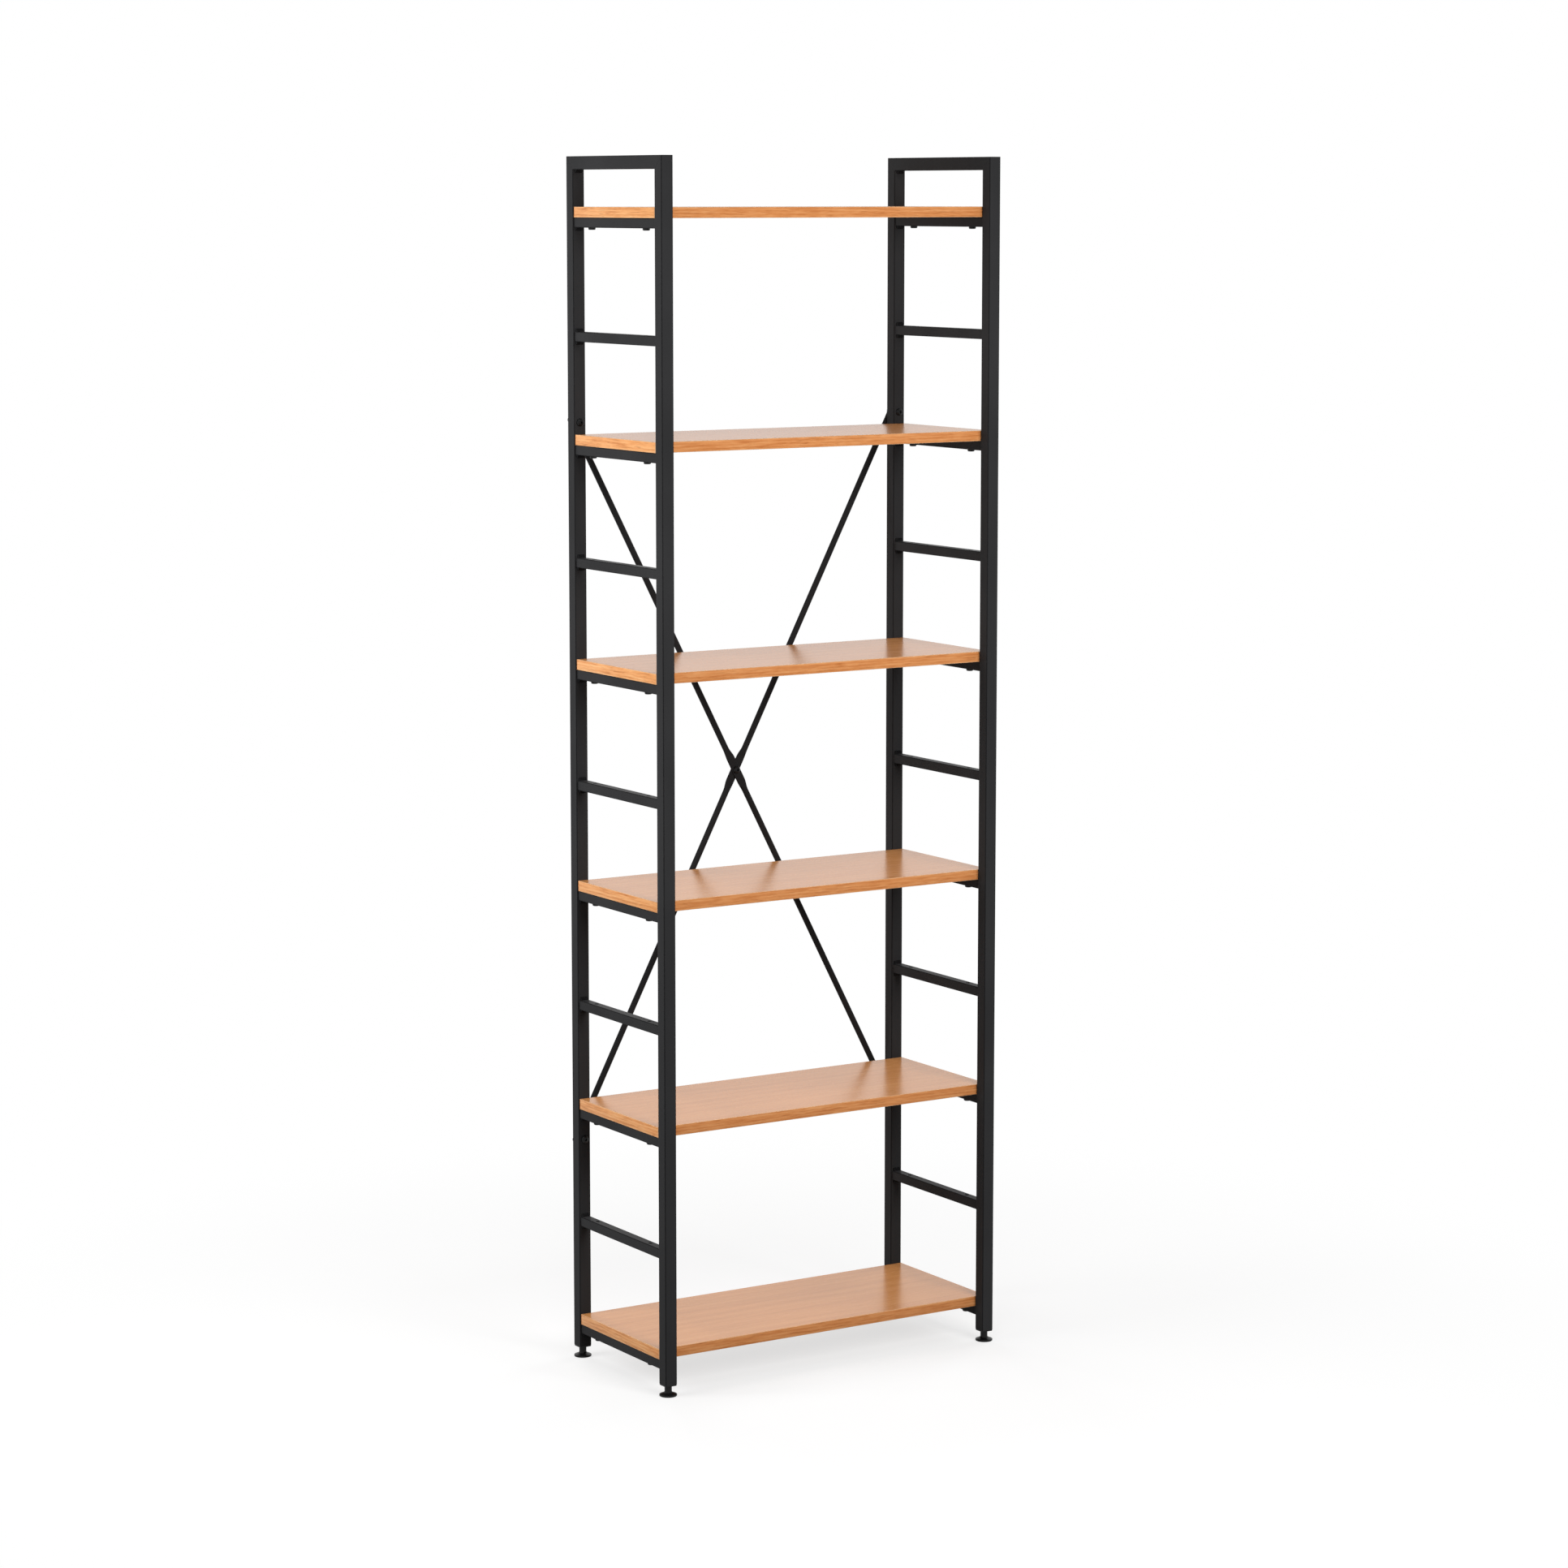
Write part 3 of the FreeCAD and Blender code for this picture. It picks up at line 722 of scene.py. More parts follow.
@dataclass(frozen=True)
class PowderCoat:
    """Black powder coat with a fine orange peel and, if corners are given, painted corner shade."""

    name: str = "frame_powder_coat"
    deep: Colour = srgb(48, 48, 49)
    thin: Colour = srgb(56, 56, 57)
    smoothest: float = 0.28
    corners: Optional[CornerShade] = None
    # Painted shade: the dark colour laid along the tubes' rounded corners, and how much of it.
    corner: Colour = srgb(24, 24, 25)
    corner_shade_share: float = 0.8
    specular: float = 0.016
    peel_cells: Triple = (420.0, 420.0, 420.0)
    peel_share: float = 0.75
    peel_deep: float = 0.04 * MM
    peel_strength: float = 0.5
    grit_cells: Triple = (2600.0, 2600.0, 2600.0)
    grit_rough: float = 0.06
    drift_cells: Triple = (9.0, 9.0, 5.0)
    drift_share: float = 0.7
    drift_rough: float = 0.08
    thin_span: Point = (0.3, 0.7)

    def material(self) -> Material:
        """Builds the coat.

        Returns:
            The material.
        """
        shader = Shader(self.name)
        peel = shader.noise(self.peel_cells, 2.0)
        grit = shader.noise(self.grit_cells, 1.0)
        drift = shader.noise(self.drift_cells, 3.0)
        cloud = self.drift_share * drift + (1 - self.drift_share) * grit
        colour = shader.mix(shader.ease(cloud, *self.thin_span), self.deep, self.thin)
        # Painted shade: darkens the coat in the rounded corners of posts and rails.
        if self.corners:
            colour = shader.mix(self.corner_shade_share * self.corners.mask(shader), colour, self.corner)
        relief = self.peel_share * peel + (1 - self.peel_share) * grit
        return shader.close({
            "Base Color": colour,
            "Roughness": self.smoothest + self.drift_rough * drift + self.grit_rough * grit,
            "Specular IOR Level": self.specular,
            "Normal": shader.bump(relief, self.peel_deep, self.peel_strength),
        })


class GrainRun(Enum):
    """Which way the grain runs, as the turn that brings it onto X."""

    LONG = 0.0
    DEEP = math.pi / 2


@dataclass(frozen=True)
class WoodFilm:
    """Wood effect film: streaks, growth lines and pores that follow one direction."""

    name: str
    run: GrainRun
    dark: Colour
    middle: Colour
    light: Colour
    pore: Colour
    streak_long: float
    streak_cells: float
    line_rate: float
    line_share: float
    pore_cells: float
    pore_share: float
    smoothest: float
    specular: float
    ior: float = 1.48
    tones: Triple = (0.3, 0.5, 0.72)
    streak_layers: Point = (5.0, 0.55)
    streak_rough: float = 0.04
    sway_cells: Triple = (1.3, 7.0, 7.0)
    sway_lines: float = 5.0
    line_lean: float = 0.8
    fine_long: float = 4.0
    fine_across: float = 7.0
    fine_share: float = 0.38
    fine_high: float = 0.2
    pore_long: float = 45.0
    pore_span: Point = (0.6, 0.74)
    pore_rough: float = 0.06
    pore_low: float = 0.8
    relief_deep: float = 0.02 * MM
    relief_strength: float = 0.1

    def material(self) -> Material:
        """Builds the film.

        Returns:
            The material.
        """
        shader = Shader(self.name)
        turn = self.run.value
        across = self.streak_cells
        detail, roughness = self.streak_layers
        streak = shader.noise((self.streak_long, across, across), detail, turn, roughness)
        sway = shader.noise(self.sway_cells, 2.0, turn)
        place = shader.split(shader.mapped((1, 1, 1), turn))
        rings = (place.part("Y") + self.line_lean * place.part("Z")) * self.line_rate
        line = 0.5 + 0.5 * ((rings + self.sway_lines * sway) * (2 * math.pi)).sine()
        narrow = self.fine_across * across
        fine = shader.noise((self.fine_long * self.streak_long, narrow, narrow), 2.0, turn)
        streak_share = 1 - self.fine_share - self.line_share
        tone = streak_share * streak + self.line_share * line + self.fine_share * fine
        figure = shader.ramp(tone, tuple(zip(self.tones, (self.dark, self.middle, self.light))))
        dashes = shader.noise((self.pore_long, self.pore_cells, self.pore_cells), 1.0, turn)
        pores = shader.ease(dashes, *self.pore_span)
        relief = self.fine_high * fine - self.pore_low * pores
        return shader.close({
            "Base Color": shader.mix(pores * self.pore_share, figure, self.pore),
            "Roughness": self.smoothest + self.streak_rough * streak + self.pore_rough * pores,
            "IOR": self.ior,
            "Specular IOR Level": self.specular,
            "Normal": shader.bump(relief, self.relief_deep, self.relief_strength),
        })


@dataclass(frozen=True)
class BandCore:
    """Plain core of the edge band, which shows where its corners are trimmed."""

    name: str = "band_trim"
    pale: Colour = srgb(231, 184, 138)
    deep: Colour = srgb(217, 163, 114)
    smoothest: float = 0.34
    ior: float = 1.48
    scrape_cells: Triple = (260.0, 260.0, 60.0)
    scrape_span: Point = (0.35, 0.65)
    scrape_rough: float = 0.12
    relief_deep: float = 0.03 * MM
    relief_strength: float = 0.3

    def material(self) -> Material:
        """Builds the trimmed core.

        Returns:
            The material.
        """
        shader = Shader(self.name)
        scrape = shader.noise(self.scrape_cells, 3.0)
        pale = shader.ease(scrape, *self.scrape_span)
        return shader.close({
            "Base Color": shader.mix(pale, self.deep, self.pale),
            "Roughness": self.smoothest + self.scrape_rough * scrape,
            "IOR": self.ior,
            "Normal": shader.bump(scrape, self.relief_deep, self.relief_strength),
        })


@dataclass(frozen=True)
class PlatedSteel:
    """Plated fixings: a metal with faint tumbling marks."""

    name: str
    bright: Colour
    dull: Colour
    metallic: float
    smoothest: float
    specular: float = 0.5
    cloud_cells: Triple = (180.0, 180.0, 180.0)
    cloud_span: Point = (0.3, 0.7)
    cloud_rough: float = 0.14
    mark_cells: Triple = (3200.0, 3200.0, 3200.0)
    mark_deep: float = 0.01 * MM
    mark_strength: float = 0.4

    def material(self) -> Material:
        """Builds the plating.

        Returns:
            The material.
        """
        shader = Shader(self.name)
        cloud = shader.noise(self.cloud_cells, 3.0)
        marks = shader.noise(self.mark_cells, 2.0)
        bright = shader.ease(cloud, *self.cloud_span)
        return shader.close({
            "Base Color": shader.mix(bright, self.dull, self.bright),
            "Metallic": self.metallic,
            "Specular IOR Level": self.specular,
            "Roughness": self.smoothest + self.cloud_rough * cloud,
            "Normal": shader.bump(marks, self.mark_deep, self.mark_strength),
        })


@dataclass(frozen=True)
class MouldedPlastic:
    """Black moulded plastic with a fine spark eroded grain."""

    name: str = "foot_moulding"
    deep: Colour = srgb(12, 12, 13)
    worn: Colour = srgb(20, 20, 21)
    smoothest: float = 0.24
    specular: float = 0.18
    cloud_cells: Triple = (110.0, 110.0, 110.0)
    cloud_share: float = 0.5
    cloud_rough: float = 0.1
    grain_cells: Triple = (2100.0, 2100.0, 2100.0)
    grain_deep: float = 0.02 * MM
    grain_strength: float = 0.3
    worn_span: Point = (0.35, 0.7)

    def material(self) -> Material:
        """Builds the plastic.

        Returns:
            The material.
        """
        shader = Shader(self.name)
        grain = shader.noise(self.grain_cells, 2.0)
        cloud = shader.noise(self.cloud_cells, 2.0)
        wear = self.cloud_share * cloud + (1 - self.cloud_share) * grain
        return shader.close({
            "Base Color": shader.mix(shader.ease(wear, *self.worn_span), self.deep, self.worn),
            "Roughness": self.smoothest + self.cloud_rough * cloud,
            "Specular IOR Level": self.specular,
            "Normal": shader.bump(grain, self.grain_deep, self.grain_strength),
        })


class Finishes:
    """The materials of the bookcase, each made once."""

    def __init__(self) -> None:
        """Builds every material."""
        face = dict(
            run=GrainRun.LONG, dark=srgb(194, 129, 73), middle=srgb(205, 141, 84),
            light=srgb(213, 152, 96), pore=srgb(165, 98, 50), streak_long=2.2, streak_cells=70.0,
            line_rate=34.0, line_share=0.07, pore_cells=1300.0, pore_share=0.12)
        band = dict(
            pore=srgb(150, 80, 36), streak_long=16.0, streak_cells=210.0, line_rate=260.0,
            line_share=0.08, pore_cells=1500.0, pore_share=0.55, smoothest=0.34)
        # The frame coat carries painted shade in the tube corners.
        self.coat = PowderCoat(corners=CornerShade()).material()
        self.bar_coat = PowderCoat(
            "bar_powder_coat", srgb(33, 33, 34), srgb(41, 41, 42), 0.3).material()
        # Painted shade: the welds get a darker copy of the frame coat, standing in for the shade at
        # the joints.
        self.weld_shaded_coat = PowderCoat(
            "weld_coat_painted_shade", srgb(24, 24, 25), srgb(34, 34, 35), 0.36).material()
        self.face = WoodFilm("board_face", **face, smoothest=0.22, specular=0.46).material()
        self.under = WoodFilm("board_underside", **face, smoothest=0.53, specular=0.06).material()
        self.long_band = WoodFilm(
            "board_band_long", GrainRun.LONG, dark=srgb(184, 104, 49), middle=srgb(216, 142, 84),
            light=srgb(235, 172, 115), specular=0.18, **band).material()
        # Painted light: the end bands get paler tones than the long bands, for the brighter light
        # on the board ends; their grain really runs across.
        self.lit_end_band = WoodFilm(
            "board_band_end_painted_light", GrainRun.DEEP, dark=srgb(196, 116, 56), middle=srgb(239, 168, 107),
            light=srgb(252, 199, 142), specular=0.16, **band).material()
        self.trim = BandCore().material()
        self.black = PlatedSteel(
            "black_plated_steel", srgb(21, 21, 22), srgb(12, 12, 13), 0.0, 0.18, 0.18).material()
        self.zinc = PlatedSteel(
            "zinc_plated_steel", srgb(196, 198, 200), srgb(158, 160, 162), 1.0, 0.26).material()
        self.plastic = MouldedPlastic().material()


def dress_node(node: str, material: Material) -> None:
    """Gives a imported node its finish.

    Args:
        node: Name of the node.
        material: The finish.
    """
    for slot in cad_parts[node].material_slots:
        slot.material = material
    log.info("%s wears %s", node, material.name)


@dataclass
class SteelFrame:
    """Posts, rails and brace bars in their coat, with the welds that hold the tubes."""

    finishes: Finishes
    bead_up: float = 5.2 * MM
    bead_out: float = 3.4 * MM
    bead_short: float = 0.9 * MM
    bead_sides: int = 20
    bead_smooth: float = 55.0
    ripples: int = 6
    ripple_sizes: Point = (0.8, 0.95)
    bead_end: float = 0.5
    jitter: float = 0.05
    sink: float = 0.05 * MM
    seam_wide: float = 1.5 * MM
    seam_high: float = 0.28 * MM
    seam_spare: float = 1.6
    seam_sides: int = 16
    seam_cuts: tuple[float, ...] = (-0.42, -0.2, 0.0, 0.2, 0.42)
    seam_end: float = 0.4
    seam_smooth: float = 50.0
    seed: int = 11

    def build(self) -> None:
        """Dresses the tubes and lays the welds."""
        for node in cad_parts:
            if node.startswith("brace_bar_"):
                dress_node(node, self.finishes.bar_coat)
            elif node.startswith(("post_", "top_rail_", "shelf_rail_", "extra_rail_")):
                dress_node(node, self.finishes.coat)
        self.rail_welds()
        self.mitre_seams()

    def make_bead(self, corner: Vector, length: float) -> Blank:
        """Models a rippled fillet weld along X, above a rail's top and behind a post's face.

        Args:
            corner: Middle of the inner corner that the bead fills.
            length: Length of the bead.

        Returns:
            The bead.
        """
        draw = random.Random(self.seed)
        bead = Blank.rod("weld_bead", self.bead_up, corner, length, Axis.X, self.bead_sides)
        squash = self.bead_out / self.bead_up
        bead.obj.scale = (1, squash, 1)
        bead.obj.location = (0, corner.y * (1 - squash), 0)
        bead.settle()
        rings = 2 * self.ripples
        stations = [corner.x + length * (ring / rings - 0.5) for ring in range(rings + 1)]
        bead.edit()
        for station in stations[1:-1]:
            bead.bisect((station, 0, 0), (1, 0, 0), Keep.BOTH)
        for ring, station in enumerate(stations):
            swell = self.bead_end if ring in (0, rings) else self.ripple_sizes[ring % 2]
            size = swell + draw.uniform(-self.jitter, self.jitter)
            bead.pick(Pick.VERTS, lambda vert: abs(vert.co.x - station) < TOUCH)
            bead.resize((1, size, size), (station, corner.y, corner.z))
        bead.bisect((0, corner.y - self.sink, 0), (0, 1, 0), Keep.AHEAD)
        bead.bisect((0, 0, corner.z - self.sink), (0, 0, 1), Keep.AHEAD)
        bead.heal()
        bead.done()
        bead.smooth(self.bead_smooth)
        # The darker coat is painted shade where the rails meet the posts.
        bead.dress(self.finishes.weld_shaded_coat)
        return bead

    def rail_welds(self) -> None:
        """Copies the bead to every corner between a rail and a post that a board leaves open."""
        low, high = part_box("extra_rail_left_1")
        start = Vector(((low.x + high.x) / 2, low.y, high.z))
        bead = self.make_bead(start, high.x - low.x - 2 * self.bead_short)
        for side in SIDES:
            places = [(f"extra_rail_{side}_{level}", up) for level in EXTRA_RAILS for up in (1, -1)]
            places += [(f"shelf_rail_{side}_{level}", -1) for level in SHELVES]
            places.append((f"top_rail_{side}", -1))
            beads = [self.copy_bead(bead, start, rail, up, back)
                     for (rail, up), back in product(places, (1, -1))]
            Blank.joined(f"rail_welds_{side}", beads).seat("frame", "frame_coat")
        bead.scrap()

    def copy_bead(self, bead: Blank, start: Vector, rail: str, up: int, back: int) -> Blank:
        """Copies the bead to one end of a rail.

        Args:
            bead: The modelled bead.
            start: The corner that it was modelled in.
            rail: The rail's node.
            up: 1 for a bead on the rail, -1 for one under it.
            back: 1 for a bead behind the front post, -1 for one before the rear post.

        Returns:
            The copy.
        """
        low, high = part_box(rail)
        if rail.startswith("top_rail"):
            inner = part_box(rail.replace("top_rail", "shelf_rail") + "_1")
            low.y, high.y = inner[0].y, inner[1].y
        depth = low.y if back > 0 else high.y
        corner = Vector(((low.x + high.x) / 2, depth, high.z if up > 0 else low.z))
        flip = Vector((1, back, up))
        return bead.copy(f"bead_{rail}", corner - start * flip, flip)

    def mitre_seams(self) -> None:
        """Lays the ground seams over the mitres between the posts and the top rails."""
        for side in SIDES:
            low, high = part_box(f"top_rail_{side}")
            half = (high.z - low.z) / 2
            seams = []
            for outward, back in product((-1, 1), (1, -1)):
                depth = low.y + half if back > 0 else high.y - half
                middle = Vector((low.x if outward < 0 else high.x, depth, (low.z + high.z) / 2))
                seams.append(self.make_seam(f"seam_{side}", middle, 2 * half, outward, back))
            Blank.joined(f"mitre_welds_{side}", seams).seat("frame", "frame_coat")

    def make_seam(self, name: str, middle: Vector, thick: float, outward: int, back: int) -> Blank:
        """Models one flat seam across a mitre.

        Args:
            name: Name of the piece.
            middle: Middle of the mitre on the tube's face.
            thick: Side of the tube.
            outward: Sign of the face's normal along X.
            back: 1 for the mitre of the front post, -1 for that of the rear post.

        Returns:
            The seam.
        """
        length = (thick - self.seam_spare * self.seam_wide) * math.sqrt(2)
        seam = Blank.rod(name, self.seam_wide / 2, Vector(), length, Axis.Y, self.seam_sides)
        seam.edit()
        for share in self.seam_cuts:
            seam.bisect((0, share * length, 0), (0, 1, 0), Keep.BOTH)
        seam.pick(Pick.VERTS, lambda vert: abs(vert.co.y) > length / 2 - TOUCH)
        seam.resize((self.seam_end, 1, self.seam_end))
        seam.bisect((0, 0, 0), (outward, 0, 0), Keep.AHEAD)
        seam.heal()
        seam.done()
        seam.obj.scale = (2 * self.seam_high / self.seam_wide, 1, 1)
        seam.settle()
        seam.lay((-back * math.pi / 4, 0, 0), middle - Vector((outward * self.sink, 0, 0)))
        seam.smooth(self.seam_smooth)
        seam.dress(self.finishes.coat)
        return seam


def screw_places() -> tuple[float, list[Point]]:
    """Finds the four screws of a board.

    Returns:
        Radius of a screw's head, and the screws' places across and deep.
    """
    low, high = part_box("shelf_screws_1")
    rail = middle_of("shelf_rail_left_1")[0]
    head = (high.x - low.x) / 2 - abs(rail)
    deep = high.y - head
    return head, list(product((rail, -rail), (-deep, deep)))


@dataclass
class ShelfBoards:
    """Six boards: a faced panel with edge bands on its four sides."""

    finishes: Finishes
    band: float = 1.0 * MM
    arris: float = 0.6 * MM
    arris_steps: int = 3
    band_smooth: float = 35.0
    joint: float = 0.1 * MM
    hole: float = 3.0 * MM
    hole_deep: float = 12.0 * MM
    hole_sides: int = 20

    def build(self) -> None:
        """Models one board and copies it to every level."""
        low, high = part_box("shelf_1")
        board = self.make_board(low, high)
        for level in SHELVES:
            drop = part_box(f"shelf_{level}")[0].z - low.z
            copy = board.copy(f"board_{level}", (0, 0, drop))
            copy.seat("frame", "shelf_board", f"shelf_{level}")
        board.scrap()

    def make_board(self, low: Vector, high: Vector) -> Blank:
        """Models the panel and its bands, of which the long ones cover the corners.

        Args:
            low: Lowest corner of the board.
            high: Highest corner of the board.

        Returns:
            The board.
        """
        # The end bands wear the paler film, painted light on the board ends.
        films = {1: self.finishes.long_band, 0: self.finishes.lit_end_band}
        pieces = [self.make_panel(low, high)]
        for sign, (axis, film) in product((-1, 1), films.items()):
            near, far = low.copy(), high.copy()
            if axis == 0:
                near.y, far.y = low.y + self.band, high.y - self.band
            if sign < 0:
                far[axis] = low[axis] + self.band
            else:
                near[axis] = high[axis] - self.band
            outward = Vector()
            outward[axis] = sign
            pieces.append(self.make_band(near, far, outward, film))
        return Blank.joined("board", pieces)

    def make_panel(self, low: Vector, high: Vector) -> Blank:
        """Models the faced panel, with a fine joint at its rim and pilot holes below.

        Args:
            low: Lowest corner of the board.
            high: Highest corner of the board.

        Returns:
            The panel.
        """
        inset = Vector((self.band, self.band, 0))
        panel = Blank.block("board", low + inset, high - inset)
        panel.edit()
        panel.pick(Pick.EDGES, lambda edge: abs(edge.verts[0].co.z - edge.verts[1].co.z) < TOUCH)
        panel.bevel(self.joint, 1)
        panel.done()
        for x, y in screw_places()[1]:
            middle = Vector((x, y, low.z))
            panel.carve(Blank.rod(
                "pilot", self.hole, middle, 2 * self.hole_deep, Axis.Z, self.hole_sides))
        panel.dress(self.finishes.face)
        panel.dress_faces(self.finishes.under, lambda face: face.normal.z < -FLAT)
        return panel

    def make_band(self, low: Vector, high: Vector, outward: Vector, film: Material) -> Blank:
        """Models one edge band with rounded outer corners.

        Args:
            low: Lowest corner of the band.
            high: Highest corner of the band.
            outward: Direction that its face looks in.
            film: Finish of its face.

        Returns:
            The band.
        """
        band = Blank.block("band", low, high)
        limit = max(outward.dot(low), outward.dot(high)) - TOUCH
        band.edit()
        band.pick(Pick.EDGES, lambda edge: all(outward.dot(v.co) > limit for v in edge.verts))
        band.bevel(self.arris, self.arris_steps)
        band.done()
        band.dress(film)
        band.dress_faces(self.finishes.trim, lambda face: max(map(abs, face.normal)) < FLAT)
        band.smooth(self.band_smooth)
        return band


@dataclass
class ShelfScrews:
    """Pan head screws that come up through the rails into the boards."""

    plating: Material
    crown: float = 1.7 * MM
    head_sides: int = 32
    arm_long: float = 5.2 * MM
    arm_wide: float = 1.2 * MM
    arm_end: float = 0.55
    recess: float = 1.7 * MM
    neck: float = 1.5 * MM
    root: float = 2.15 * MM
    crest: float = 2.85 * MM
    pitch: float = 1.8 * MM
    thread_from: float = 1.0 * MM
    thread_sides: int = 18
    taper: Point = (0.5, 0.7)
    smooth: float = 38.0

    def build(self) -> None:
        """Models one screw and copies it to its four places under every board."""
        low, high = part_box("shelf_screws_1")
        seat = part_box("shelf_rail_left_1")[0].z
        head, places = screw_places()
        screw = self.make_screw(head, seat - low.z, high.z - seat)
        for level in SHELVES:
            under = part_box(f"shelf_rail_left_{level}")[0].z
            copies = [screw.copy(f"screws_{level}", (x, y, under)) for x, y in places]
            screws = Blank.joined(f"screws_{level}", copies)
            screws.seat("frame", "black_fixing", f"shelf_screws_{level}")
        screw.scrap()

    def make_screw(self, head: float, tall: float, reach: float) -> Blank:
        """Models a screw with its seat at the origin and its tip upwards.

        Args:
            head: Radius of the head.
            tall: Height of the head.
            reach: Length under the head.

        Returns:
            The screw.
        """
        profile = [(0, -tall), *arc((head - self.crown, self.crown - tall), self.crown, -90, 0, 6)]
        profile += [(head, 0), (self.root, 0), (self.root, self.neck), (0, self.neck)]
        screw = Blank.turned("screw", profile, self.head_sides)
        crown = Vector((0, 0, -tall))
        for long, wide in ((self.arm_long, self.arm_wide), (self.arm_wide, self.arm_long)):
            half = Vector((long / 2, wide / 2, self.recess))
            arm = Blank.block("driver", crown - half, crown + half)
            arm.edit()
            arm.pick(Pick.FACES, lambda face: face.normal.z > FLAT)
            arm.resize((self.arm_end, self.arm_end, 1))
            arm.done()
            screw.carve(arm)
        shank = Blank.thread((self.root, self.crest), self.pitch, (self.thread_from, reach),
                             self.thread_sides, self.taper)
        screw = Blank.joined("screw", [screw, shank])
        screw.smooth(self.smooth)
        screw.dress(self.plating)
        return screw


@dataclass
class BraceFixings:
    """Button head bolts and hexagon nuts at the ends and the crossing of the brace bars."""

    black: Material
    zinc: Material
    rim: float = 0.9 * MM
    rim_edge: float = 0.2 * MM
    crown_flat: float = 2.9 * MM
    crown_step: int = 15
    head_sides: int = 40
    socket: float = 2.35 * MM
    socket_deep: float = 2.1 * MM
    shank: float = 3.0 * MM
    shank_edge: float = 0.3 * MM
    root: float = 2.45 * MM
    pitch: float = 1.0 * MM
    run_out: float = 4.0 * MM
    thread_sides: int = 24
    taper: Point = (0.4, 0.86)
    bolt_smooth: float = 36.0
    bore: float = 3.05 * MM
    bore_sides: int = 32
    nut_face: float = 0.95
    nut_spare: float = 0.1 * MM
    nut_slope: float = 30.0
    nut_sides: int = 48
    nut_smooth: float = 25.0

    def build(self) -> None:
        """Models the bolts and nuts at their places."""
        ends_low, ends_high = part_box("brace_end_bolts")
        nuts_low, nuts_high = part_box("brace_end_nuts")
        posts = [middle_of(f"post_{side}_rear")[0] for side in SIDES]
        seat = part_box("post_left_rear")[0].y
        head, tall = posts[0] - ends_low.x, seat - ends_low.y
        spots = list(product(posts, (ends_low.z + head, ends_high.z - head)))
        bolt = self.make_bolt(head, tall, nuts_low.y - seat, ends_high.y - seat)
        nut = self.make_nut(posts[0] - nuts_low.x, nuts_high.y - nuts_low.y)
        self.set_pieces("end_bolts", bolt, spots, seat, "black_fixing", "brace_end_bolts")
        self.set_pieces("end_nuts", nut, spots, nuts_low.y, "zinc_fixing", "brace_end_nuts")
        bolt_low, bolt_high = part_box("brace_centre_bolt")
        nut_low, nut_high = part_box("brace_centre_nut")
        spots = [(0.0, middle_of("brace_centre_bolt")[2])]
        seat = bolt_low.y + tall
        bolt = self.make_bolt(head, tall, nut_low.y - seat, bolt_high.y - seat)
        nut = self.make_nut(nut_high.x, nut_high.y - nut_low.y)
        self.set_pieces("cross_bolt", bolt, spots, seat, "black_fixing", "brace_centre_bolt")
        self.set_pieces("cross_nut", nut, spots, nut_low.y, "zinc_fixing", "brace_centre_nut")

    def set_pieces(self, name: str, piece: Blank, spots: Sequence[Point], seat: float, slot: str,
                   node: str) -> None:
        """Copies a piece that was made along Z to its spots, lying along Y.

        Args:
            name: Name of the finished object.
            piece: The modelled piece.
            spots: Places across and up.
            seat: Depth of the face that it sits on.
            slot: The record's slot of its finish.
            node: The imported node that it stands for.
        """
        piece.lay(Axis.Y.value)
        copies = [piece.copy(name, (x, seat, z)) for x, z in spots]
        piece.scrap()
        Blank.joined(name, copies).seat("frame", slot, node)

    def make_bolt(self, head: float, tall: float, nut_at: float, reach: float) -> Blank:
        """Models a bolt with its seat at the origin and its end upwards.

        Args:
            head: Radius of the head.
            tall: Height of the head.
            nut_at: Where the nut begins.
            reach: Length under the head.

        Returns:
            The bolt.
        """
        rise = tall - self.rim
        width = head - self.crown_flat
        crown = [(self.crown_flat + width * math.sin(turn), -self.rim - rise * math.cos(turn))
                 for turn in map(math.radians, range(0, 91, self.crown_step))]
        plain = max(nut_at - self.run_out, self.pitch)
        core = plain + self.shank_edge
        profile = [(0, -tall), *crown, (head, -self.rim_edge), (head - self.rim_edge, 0)]
        profile += [(self.shank, 0), (self.shank, plain), (self.root, core), (0, core)]
        bolt = Blank.turned("bolt", profile, self.head_sides)
        bolt.carve(Blank.rod(
            "key", self.socket, Vector((0, 0, -tall)), 2 * self.socket_deep, Axis.Z, 6))
        thread = Blank.thread((self.root, self.shank), self.pitch, (plain, reach),
                              self.thread_sides, self.taper)
        bolt = Blank.joined("bolt", [bolt, thread])
        bolt.smooth(self.bolt_smooth)
        bolt.dress(self.black)
        return bolt

    def make_nut(self, half_flats: float, tall: float) -> Blank:
        """Models a hexagon nut with chamfered corners, its seat at the origin.

        Args:
            half_flats: Half of its width over the flats.
            tall: Height of the nut.

        Returns:
            The nut.
        """
        corner = half_flats * 2 / math.sqrt(3)
        middle = Vector((0, 0, tall / 2))
        nut = Blank.rod("nut", corner, middle, 2 * tall, Axis.Z, 6)
        face = self.nut_face * half_flats
        wide = corner + self.nut_spare
        rise = (wide - face) * math.tan(math.radians(self.nut_slope))
        drum = [(0, 0), (face, 0), (wide, rise), (wide, tall - rise), (face, tall), (0, tall)]
        nut.carve(Blank.turned("drum", drum, self.nut_sides), Carving.INSIDE)
        nut.carve(Blank.rod("bore", self.bore, middle, 2 * tall, Axis.Z, self.bore_sides))
        nut.smooth(self.nut_smooth)
        nut.dress(self.zinc)
        return nut


